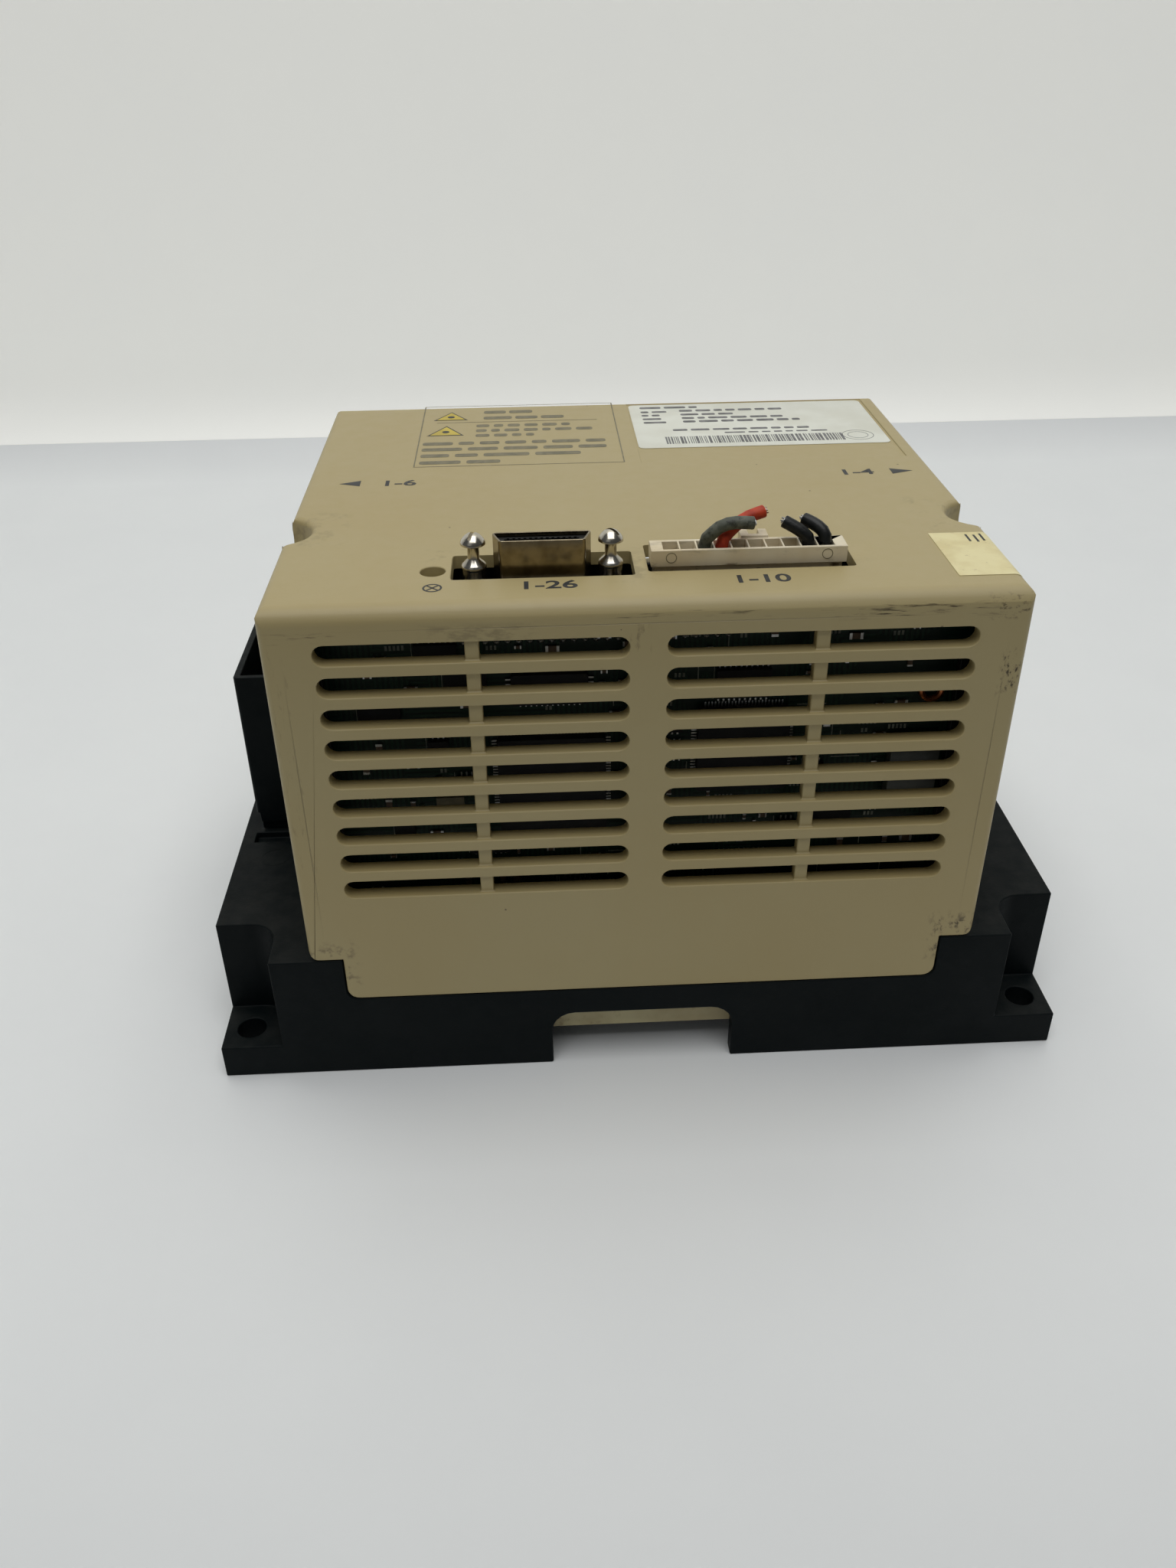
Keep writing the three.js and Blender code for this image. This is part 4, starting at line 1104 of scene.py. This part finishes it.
def addRod(bm, start, end, side, other, radius, sides=8):
    turns = [2 * math.pi * i / sides for i in range(sides)]
    ring = [(side * math.cos(turn) + other * math.sin(turn)) * radius for turn in turns]
    addRing(bm, [[point + away for away in ring] for point in (start, end)], closed=False)


def makeWireEnds():
    lean, last = strand["lean"], strand["count"] - 1
    for node, (seed, metal) in wireNodes.items():
        rng = random.Random(seed)
        middle, normal = wireEnd(node)
        side = normal.orthogonal().normalized()
        other = normal.cross(side)
        bm = bmesh.new()
        addRod(bm, middle - normal * 0.2, middle + normal * 0.12, side, other, strand["core"], 14)
        for number in range(strand["count"]):
            turn = 2 * math.pi * number / last
            reach = 0 if number == last else strand["ringRadius"]
            foot = middle + (side * math.cos(turn) + other * math.sin(turn)) * reach
            aside = side * rng.uniform(-lean, lean) + other * rng.uniform(-lean, lean)
            tip = foot + normal * rng.uniform(*strand["out"]) + aside
            addRod(bm, foot, tip, side, other, strand["radius"])
        addPiece(node + "_strands", bm, metal, "wire_plug", "winding_copper")


makeWireEnds()
print("wire ends done")


# jack posts, each a turned stud with a sawn head

postLook = {
    "sides": 48,
    "profile": (  # radius as a share of the head's, height below the top in mm
        (0.93, 15.6), (0.93, 8.7), (0.96, 8.45), (1.0, 8.2), (1.0, 7.9), (0.97, 7.6), (0.90, 7.3),
        (0.50, 6.2), (0.47, 6.0), (0.47, 3.0), (0.50, 2.85), (0.96, 2.75), (1.0, 2.65), (1.0, 2.3),
        (0.96, 1.95), (0.86, 1.5), (0.70, 0.95), (0.52, 0.5), (0.32, 0.2), (0.12, 0.04),
    ),
    "saw": (0.85, 1.1),  # width and depth of the driver's slot
    "turns": {"jack_post_left": -0.35, "jack_post_right": 0.9},
}


def makeSaw(name, x, y, top, radius, turn):
    width, depth = postLook["saw"]
    size = Matrix.Diagonal((width * mm, 4 * radius * mm, 2 * depth * mm, 1))
    place = Matrix.Translation(Vector((x, y, top)) * mm)
    bm = bmesh.new()
    bmesh.ops.create_cube(bm, size=1, matrix=place @ Matrix.Rotation(turn, 4, "Z") @ size)
    return addObject(name, meshOf(bm, name))


def makePosts():
    for node, turn in postLook["turns"].items():
        x, y, radius, foot, top = uprightOf(node)
        bm = bmesh.new()
        rows = [(radius * share, max(foot, top - drop)) for share, drop in postLook["profile"]]
        addLathe(bm, x, y, rows, postLook["sides"])
        piece = addPiece("fine_" + node, bm, "platedMetal", "root", "plated_metal")
        saw = makeSaw(node + "_saw", x, y, top, radius, turn)
        cut = piece.modifiers.new("slot", "BOOLEAN")
        cut.object = saw
        cut.solver = "EXACT"
        applyModifiers(piece)
        bpy.data.objects.remove(saw)
        shadeByAngle(piece.data)
        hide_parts(node)


makePosts()
print("jack posts done")


# capacitors, choke

capacitorLook = {
    "sides": 48,
    "canDrop": 0.7,  # the aluminium top lies below the sleeve's rolled edge
    "lip": 1.6,
    "foot": (  # out from the radius, up from the foot
        (-1.5, 0), (-0.5, 0.2), (0, 0.7), (0, 3), (-0.35, 3.5), (-0.6, 4), (-0.35, 4.5), (0, 5),
    ),
    "shoulder": ((0, 1.2), (-0.25, 0.45), (-0.8, 0.08)),  # out from the radius, down from the top
    "grooves": (20, 140, 260),  # degrees
    "groove": 0.5,
    "arc": (-115, 5, 7),  # degrees where the stripes start, a step, how many points
    "stripes": (6, 8.0, 6.4, 4.6),  # how many, foot, pitch, height
}


def addCanTop(bm, x, y, can, top):
    sides, groove = capacitorLook["sides"], capacitorLook["groove"]
    addLathe(bm, x, y, [(can, top - 0.35), (can, top), (can - 0.5, top + 0.12), (can - 1.2, top)], sides)
    for degrees in capacitorLook["grooves"]:
        turn = math.radians(degrees)
        away = Vector((math.cos(turn), math.sin(turn)))
        across = Vector((-away.y, away.x)) * groove
        near, far = away * 0.8, away * (can - 3)
        corners = (near - across, far - across, far + across, near + across)
        addPrism(bm, [(x + corner.x, y + corner.y) for corner in corners], top, top + 0.15)


def addStripes(bm, x, y, radius, foot):
    start, step, points = capacitorLook["arc"]
    arc = [math.radians(start + step * i) for i in range(points)]
    outer = [(x + (radius + 0.03) * math.cos(t), y + (radius + 0.03) * math.sin(t)) for t in arc]
    inner = [(x + (radius - 0.1) * math.cos(t), y + (radius - 0.1) * math.sin(t)) for t in reversed(arc)]
    count, first, pitch, height = capacitorLook["stripes"]
    for number in range(count):
        z = foot + first + number * pitch
        addPrism(bm, outer + inner, z, z + height)


def makeCapacitors():
    cans, stripes = bmesh.new(), bmesh.new()
    lip, drop = capacitorLook["lip"], capacitorLook["canDrop"]
    for node in capacitors:
        x, y, radius, foot, top = uprightOf(node)
        profile = [(radius + out, foot + up) for out, up in capacitorLook["foot"]]
        profile += [(radius + out, top - down) for out, down in capacitorLook["shoulder"]]
        profile += [(radius - lip, top), (radius - lip - 0.1, top - drop - 0.4)]
        sleeve = bmesh.new()
        addLathe(sleeve, x, y, profile, capacitorLook["sides"])
        piece = addPiece("fine_" + node, sleeve, "capacitorSleeve", "root", "capacitor_sleeve")
        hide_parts(node)
        addCanTop(cans, x, y, radius - lip - 0.2, top - drop)
        addStripes(stripes, x, y, radius, foot)
    addPiece("capacitor_tops", cans, "sinkAluminium", "root", "sink_aluminium")
    addPiece("capacitor_stripes", stripes, "sleeveStripe", "root", "capacitor_sleeve")


chokeLook = {
    "turns": 34,
    "wound": 0.93,  # the share of the ring that the wire covers
    "wire": 0.62,  # its radius
    "hole": 8.0,
    "corner": 2.2,
    "coreInset": 1.35,
    "coreRounding": 0.8,
    "sides": 8,
}


def addTurn(bm, middle, out, path):  # one closed turn of wire along its path of (reach, height)
    aside = Vector((-out.y, out.x, 0))
    steps = [2 * math.pi * k / chokeLook["sides"] for k in range(chokeLook["sides"])]
    rings = []
    for i, (reach, z) in enumerate(path):
        before, after = path[i - 1], path[(i + 1) % len(path)]
        along = (out * (after[0] - before[0]) + Vector((0, 0, after[1] - before[1]))).normalized()
        third = along.cross(aside)
        place = middle + out * reach + Vector((0, 0, z))
        rings.append([place + (aside * math.cos(s) + third * math.sin(s)) * chokeLook["wire"] for s in steps])
    addRing(bm, rings)


def makeChoke():
    x, y, outer, foot, top = uprightOf("line_choke")
    inset, radius, inner = chokeLook["coreInset"], chokeLook["wire"], chokeLook["hole"]
    core, wire = bmesh.new(), bmesh.new()
    addHoop(core, x, y, inner + inset, outer - inset, foot + inset, top - inset, 48)
    rounding = chokeLook["coreRounding"]
    addPiece("choke_core", core, "chipEpoxy", "root", "chip_epoxy", bevel=rounding, segments=3)
    path = roundedPoints(inner + radius, outer - radius, foot + radius, top - radius, chokeLook["corner"], 3)
    for number in range(chokeLook["turns"]):
        turn = 2 * math.pi * number / chokeLook["turns"] * chokeLook["wound"]
        addTurn(wire, Vector((x, y, 0)), Vector((math.cos(turn), math.sin(turn), 0)), path)
    piece = addPiece("fine_line_choke", wire, "windingCopper", "root", "winding_copper")
    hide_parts("line_choke")


makeCapacitors()
makeChoke()
print("capacitors and choke done")


# small parts on the boards

boardParts = {
    "seed": 5,
    "edge": 4.0,
    "largeChips": {"processor_chip": 0.8, "gate_array_chip": 0.8, "memory_chip": 1.27},  # pitch of the legs
    "smallChips": 16,
    "chipSizes": ((9.9, 3.9), (5, 3.9), (12.8, 7.5)),
    "chipPitch": 1.27,
    "resistors": 110,
    "resistorSizes": ((2.0, 1.25), (1.6, 0.8), (3.2, 1.6)),
    "standing": 0.4,  # the share of them that stand upright
    "marks": 90,
    "markSizes": ((3.4, 1.1), (2.2, 1.1), (0.25, 6), (7, 0.25), (4.5, 1.2)),
    "stroke": (0.55, 0.95),  # width and pitch of the strokes in a mark
    "joints": 220,
    "jointPitch": 2.54,
    "tag": (-50.6, -43.8, 75.0, 79),  # x, then z
    "greyPart": (60, 72, 74, 93),
    "coil": (68.7, 104.8, 2.4, 0.8),  # x, z, radius, thickness
    "coilRoom": (64, 73, 100, 109),
}


def faceBox(node, grow=0.8):
    low, high = boxOf(node)
    return low.x - grow, high.x + grow, low.z - grow, high.z + grow


def isFree(taken, x0, x1, z0, z1):
    return all(x1 < a or x0 > b or z1 < c or z0 > d for a, b, c, d in taken)


def findPlace(rng, taken, area, width, height):
    for _ in range(40):
        x = rng.uniform(area[0], area[1] - width)
        z = rng.uniform(area[2], area[3] - height)
        if isFree(taken, x - 0.5, x + width + 0.5, z - 0.5, z + height + 0.5):
            taken.append((x, x + width, z, z + height))
            return x, z
    return None


def scatter(rng, taken, area, count, pickSize, room=(0, 0)):  # only what finds a free place
    for _ in range(count):
        width, height = pickSize()
        place = findPlace(rng, taken, area, width + room[0], height + room[1])
        if place:
            yield (*place, width, height)


def addMark(bm, face, x0, x1, z0, z1):
    addBox(bm, x0, x1, face - 0.04, face - 0.01, z0, z1)


def addSmallChip(chips, legs, marks, face, x, z, width, height):
    addBox(chips, x, x + width, face - 1.7, face - 0.2, z + 1.2, z + 1.2 + height)
    pitch = boardParts["chipPitch"]
    count = int(width / pitch)
    for i in range(count):
        leg = x + (width - (count - 1) * pitch) / 2 + i * pitch
        for z0, z1 in ((z + 0.1, z + 1.3), (z + 1.1 + height, z + 2.3 + height)):
            addBox(legs, leg - 0.2, leg + 0.2, face - 0.5, face - 0.02, z0, z1)
    addMark(marks, face, x - 0.6, x - 0.4, z + 0.4, z + height + 2)


def addResistor(bodies, ends, face, x, z, width, tall):
    addBox(bodies, x + 0.05, x + width - 0.05, face - 0.6, face - 0.05, z + 0.05, z + tall - 0.05)
    cap = max(width, tall) * 0.2
    if tall > width:
        places = ((x, x + width, z, z + cap), (x, x + width, z + tall - cap, z + tall))
    else:
        places = ((x, x + cap, z, z + tall), (x + width - cap, x + width, z, z + tall))
    for x0, x1, z0, z1 in places:
        addBox(ends, x0, x1, face - 0.65, face - 0.02, z0, z1)


def addStrokes(marks, face, x, z, width, tall):  # a thin line, or a row of strokes like characters
    if 0.5 < tall < 1.3:
        stroke, pitch = boardParts["stroke"]
        start = x
        while start < x + width - 0.6:
            addMark(marks, face, start, start + stroke, z, z + tall)
            start += pitch
    else:
        addMark(marks, face, x, x + width, z, z + tall)


def makeSinglePieces(face):
    tag, grey, coil = (bmesh.new() for _ in range(3))
    x0, x1, z0, z1 = boardParts["tag"]
    addBox(tag, x0, x1, face - 0.9, face - 0.05, z0, z1)
    addPiece("board_tag", tag, "printFaded", "root", "chip_epoxy")
    x0, x1, z0, z1 = boardParts["greyPart"]
    addBox(grey, x0, x1, face - 4, face - 0.05, z0, z1)
    addPiece("board_grey_part", grey, "boardGrey", "root", "chip_epoxy", bevel=0.3)
    x, z, radius, wire = boardParts["coil"]
    sections = []
    ring = [2 * math.pi * k / 8 for k in range(8)]
    for i in range(20):
        turn = 2 * math.pi * i / 20
        away = Vector((math.cos(turn), 0, math.sin(turn)))
        middle = Vector((x, face - wire - 0.1, z)) + away * radius
        sections.append([middle + (away * math.cos(t) + Vector((0, math.sin(t), 0))) * wire for t in ring])
    addRing(coil, sections)
    addPiece("board_coil", coil, "windingCopper", "root", "winding_copper")


def makeControlBoardParts():
    rng = random.Random(boardParts["seed"])
    low, high = boxOf("control_board")
    face, edge = low.y, boardParts["edge"]
    area = (low.x + edge + 3, high.x - edge - 3, low.z + edge, high.z - edge)
    taken = [faceBox(node) for node in boardParts["largeChips"]]
    taken += [boardParts["tag"], boardParts["greyPart"], boardParts["coilRoom"]]
    bodies, ends, marks, chips, legs = (bmesh.new() for _ in range(5))

    def pickResistor():
        length, height = rng.choice(boardParts["resistorSizes"])
        return (height, length) if rng.random() < boardParts["standing"] else (length, height)

    pickChip = lambda: rng.choice(boardParts["chipSizes"])
    pickMark = lambda: rng.choice(boardParts["markSizes"])
    for place in scatter(rng, taken, area, boardParts["smallChips"], pickChip, room=(1, 2.4)):
        addSmallChip(chips, legs, marks, face, *place)
    for place in scatter(rng, taken, area, boardParts["resistors"], pickResistor):
        addResistor(bodies, ends, face, *place)
    for place in scatter(rng, taken, area, boardParts["marks"], pickMark):
        addStrokes(marks, face, *place)
    makeSinglePieces(face)
    addPiece("small_part_bodies", bodies, "partBrown", "root", "chip_epoxy")
    addPiece("small_part_ends", ends, "solderTin", "root", "plated_metal")
    addPiece("small_chips", chips, "chipEpoxy", "root", "chip_epoxy", bevel=0.15)
    addPiece("chip_legs", legs, "solderTin", "root", "plated_metal")
    addPiece("board_marks", marks, "silkWhite", "root", "circuit_board")


def makeChipLegs():
    bm = bmesh.new()
    face = boxOf("control_board")[0].y
    for node, pitch in boardParts["largeChips"].items():
        low, high = boxOf(node)
        for start, end, side, otherSide, upright in (
            (low.x, high.x, low.z, high.z, True), (low.z, high.z, low.x, high.x, False),
        ):
            count = int((end - start - 2) / pitch)
            for i in range(count):
                at = (start + end) / 2 + (i - (count - 1) / 2) * pitch
                for a, b in ((side - 1.3, side + 0.1), (otherSide - 0.1, otherSide + 1.3)):
                    x0, x1, z0, z1 = (at - 0.17, at + 0.17, a, b) if upright else (a, b, at - 0.17, at + 0.17)
                    addBox(bm, x0, x1, face - 0.6, face - 0.02, z0, z1)
    addPiece("large_chip_legs", bm, "solderTin", "root", "plated_metal")


def addJoint(bm, x, y, z, radius, height, axis):
    rings = []
    for share, rise in ((1.0, 0.0), (0.75, 0.45), (0.3, 0.9), (0.12, 1.0)):
        circle, up = circlePoints(0, 0, radius * share, 8), rise * height
        rings.append([(x + a, y + up, z + b) if axis == "y" else (x + a, y + b, z + up) for a, b in circle])
    addRing(bm, rings, closed=False)


def onGrid(value):
    return round(value / boardParts["jointPitch"]) * boardParts["jointPitch"]


def makeSolderJoints():
    rng = random.Random(boardParts["seed"] + 1)
    bm = bmesh.new()
    pitch = boardParts["jointPitch"]
    low, high = boxOf("control_board")
    for row in range(2):
        for i in range(26):
            addJoint(bm, -44 + i * pitch, low.y - 0.01, high.z - 5 - row * pitch, 0.7, -0.7, "y")
    for _ in range(boardParts["joints"]):
        x = rng.uniform(low.x + 8, high.x - 8)
        z = rng.uniform(low.z + 6, high.z - 18)
        addJoint(bm, onGrid(x), high.y + 0.01, onGrid(z), 0.75, 0.8, "y")
    low, high = boxOf("power_board")
    for _ in range(boardParts["joints"]):
        x = rng.uniform(low.x + 8, high.x - 8)
        y = rng.uniform(low.y + 6, high.y - 6)
        addJoint(bm, onGrid(x), onGrid(y), low.z - 0.01, 0.8, -0.9, "z")
    bmesh.ops.remove_doubles(bm, verts=bm.verts, dist=0.0001)
    addPiece("solder_joints", bm, "solderTin", "root", "plated_metal")


powerParts = {
    "seed": 9,
    "filmCapacitors": 5,
    "filmSize": (18, 8),
    "resistors": 9,
    "resistorSize": (15, 4.4),
    "resistorShape": (  # along, radius
        (2.5, 1.3), (2.9, 1.9), (4.2, 1.9), (4.6, 1.65), (10.4, 1.65), (10.8, 1.9), (12.1, 1.9), (12.5, 1.3),
    ),
    "marks": 40,
    "markSizes": ((6, 0.3), (0.3, 6), (4, 1.4)),
    "keepClear": capacitors + [f"board_screw_{number}" for number in range(1, 5)] + [
        "line_choke", "gate_transformer", "charge_relay", "current_sensor_left", "current_sensor_right",
        "board_link", "card_guide_left", "card_guide_right", "insulating_sheet",
    ],
}


def addAxialResistor(bm, leads, x, y, top):
    rings = []
    for along, radius in powerParts["resistorShape"]:
        rings.append([(x + along, a, b) for a, b in circlePoints(y + 2.2, top + 2.4, radius, 14)])
    addRing(bm, rings, closed=False)
    for near, far, lead in ((0.3, 2.6, 0.3), (12.4, 14.7, 14.0)):
        addBox(leads, x + near, x + far, y + 1.85, y + 2.55, top + 2.05, top + 2.75)
        addBox(leads, x + lead, x + lead + 0.7, y + 1.85, y + 2.55, top + 0.05, top + 2.1)


def makePowerBoardParts():
    rng = random.Random(powerParts["seed"])
    low, high = boxOf("power_board")
    top = high.z
    taken = []
    for node in powerParts["keepClear"]:
        a, b = boxOf(node)
        taken.append((a.x - 1, b.x + 1, a.y - 1, b.y + 1))
    area = (low.x + 4, high.x - 4, low.y + 3, high.y - 3)
    films, resistors, leads, marks = (bmesh.new() for _ in range(4))
    pickFilm = lambda: powerParts["filmSize"]
    pickResistor = lambda: powerParts["resistorSize"]
    pickMark = lambda: rng.choice(powerParts["markSizes"])
    for x, y, width, deep in scatter(rng, taken, area, powerParts["filmCapacitors"], pickFilm):
        addBox(films, x, x + width, y, y + deep, top + 0.3, top + 13)
    for x, y, width, deep in scatter(rng, taken, area, powerParts["resistors"], pickResistor):
        addAxialResistor(resistors, leads, x, y, top)
    for x, y, width, deep in scatter(rng, taken, area, powerParts["marks"], pickMark):
        addBox(marks, x, x + width, y, y + deep, top + 0.01, top + 0.04)
    addPiece("film_capacitors", films, "signYellow", "root", "connector_ivory", bevel=0.6)
    addPiece("axial_resistors", resistors, "partBrown", "root", "chip_epoxy")
    addPiece("resistor_leads", leads, "solderTin", "root", "plated_metal")
    addPiece("power_board_marks", marks, "silkWhite", "root", "circuit_board")


pins = {
    "perRow": 8,
    "inward": (4.0, 3.5),  # from a power module's ends and sides
    "half": 0.4,
    "portContacts": 13,
    "portPitch": 1.27,
    "portReach": (5.2, 1.1),  # down from the insert's top
}


def makeModulePins():
    bm = bmesh.new()
    boardBottom = boxOf("power_board")[0].z
    fromEnd, fromSide = pins["inward"]
    half = pins["half"]
    for number in range(1, 4):
        low, high = boxOf(f"power_module_{number}")
        for i in range(pins["perRow"]):
            x = low.x + fromEnd + i * (high.x - low.x - 2 * fromEnd) / (pins["perRow"] - 1)
            for y in (low.y + fromSide, high.y - fromSide):
                addBox(bm, x - half, x + half, y - half, y + half, high.z + 0.02, boardBottom - 0.02)
    addPiece("module_pins", bm, "solderTin", "root", "plated_metal")


def makePortContacts():
    bm = bmesh.new()
    low, high = boxOf("io_port_insert")
    y = (low.y + high.y) / 2
    middle = (low.x + high.x) / 2
    foot, top = (high.z - down for down in pins["portReach"])
    for i in range(pins["portContacts"]):
        x = middle + (i - (pins["portContacts"] - 1) / 2) * pins["portPitch"]
        for side in (-1, 1):
            near, far = sorted((y + side * 0.9, y + side * 1.3))
            addBox(bm, x - 0.2, x + 0.2, near, far, foot, top)
    addPiece("port_contacts", bm, "wireCopper", "root", "plated_metal")


makeControlBoardParts()
makeChipLegs()
makeSolderJoints()
makePowerBoardParts()
makeModulePins()
makePortContacts()
print("board parts done")


# floor and backdrop, light

studio = {
    "floor": {"color": (0.86, 0.88, 0.88, 1), "glow": 0.0},
    "wall": {"color": (0.84, 0.84, 0.80, 1), "glow": 0.26},
    "dimFloor": (0.16, 0.16, 0.16, 1),  # towards the viewer, beyond the lit sheet
    "dimFrom": -520,  # mm
    "dimTo": -110,
    "wallY": 0.46,  # metres from here on
    "bend": 0.05,
    "bendSteps": 8,
    "half": 3.0,
    "front": -3.0,
    "height": 2.2,
    "skyColor": (0.92, 0.96, 1.0, 1),
    "skyStrength": 0.08,
    "mottle": (0.70, 0.72, 0.74, 1),
    "roughness": 0.5,
    "aim": (0, 0, 0.06),  # what both lights look at
    "lights": {
        "topLight": {"place": (0.0, -0.34, 1.65), "size": 1.5, "power": 17.5},
        "frontLight": {"place": (-0.9, -1.6, 1.2), "size": 1.2, "power": 0.8},
    },
}


def makeLight(name, place, size, power):
    data = bpy.data.lights.new(name, "AREA")
    data.size = size
    data.energy = power
    light = addObject(name, data)
    light.location = place
    way = Vector(studio["aim"]) - Vector(place)
    light.rotation_euler = way.to_track_quat("-Z", "Y").to_euler()


def stageMaterial(name, look):  # only its front shows, so the room never hides the drive
    material, tree, shader = startMaterial(name)
    place = inMillimetres(tree)
    lit = spread(tree, axesOf(tree, place)[1], studio["dimFrom"], studio["dimTo"])
    ends = {"Color": look["color"], "Other": studio["mottle"]}
    mottled = useGroup(tree, "drift", place, Scale=0.02, Amount=0.06, **ends)
    feed(tree, shader["Base Color"], blendColors(tree, lit, studio["dimFloor"], mottled))
    shader["Roughness"].default_value = studio["roughness"]
    shader["Emission Color"].default_value = look["color"]
    shader["Emission Strength"].default_value = look["glow"]
    clear = put(tree, "BsdfTransparent")
    mix = put(tree, "MixShader", {
        0: put(tree, "NewGeometry").outputs["Backfacing"],
        1: tree.nodes["Principled BSDF"].outputs[0],
        2: clear.outputs[0],
    })
    tree.links.new(mix.outputs[0], tree.nodes["Material Output"].inputs["Surface"])
    return material


def makeStage():
    bend, wallY, steps = studio["bend"], studio["wallY"], studio["bendSteps"]
    profile = [(studio["front"], 0.0), (wallY - bend, 0.0)]
    for i in range(1, steps + 1):
        turn = math.pi / 2 * i / steps
        profile.append((wallY - bend + bend * math.sin(turn), bend - bend * math.cos(turn)))
    profile.append((wallY, studio["height"]))
    half = studio["half"]
    points = [(x, y, z) for y, z in profile for x in (-half, half)]
    faces = [(2 * i, 2 * i + 1, 2 * i + 3, 2 * i + 2) for i in range(len(profile) - 1)]
    mesh = bpy.data.meshes.new("backdrop")
    mesh.from_pydata(points, [], faces)
    mesh.materials.append(stageMaterial("paleFloor", studio["floor"]))
    mesh.materials.append(stageMaterial("paleWall", studio["wall"]))
    for face in mesh.polygons:
        face.use_smooth = True
        face.material_index = 1 if face.index > steps / 2 else 0
    addObject("backdrop", mesh)


def makeStudio():
    world = bpy.data.worlds.new("sky")
    world.use_nodes = True
    background = world.node_tree.nodes["Background"]
    background.inputs["Color"].default_value = studio["skyColor"]
    background.inputs["Strength"].default_value = studio["skyStrength"]
    bpy.context.scene.world = world
    for name, light in studio["lights"].items():
        makeLight(name, **light)
    makeStage()
    bpy.context.scene.view_settings.view_transform = "Standard"


makeStudio()
print("studio done")
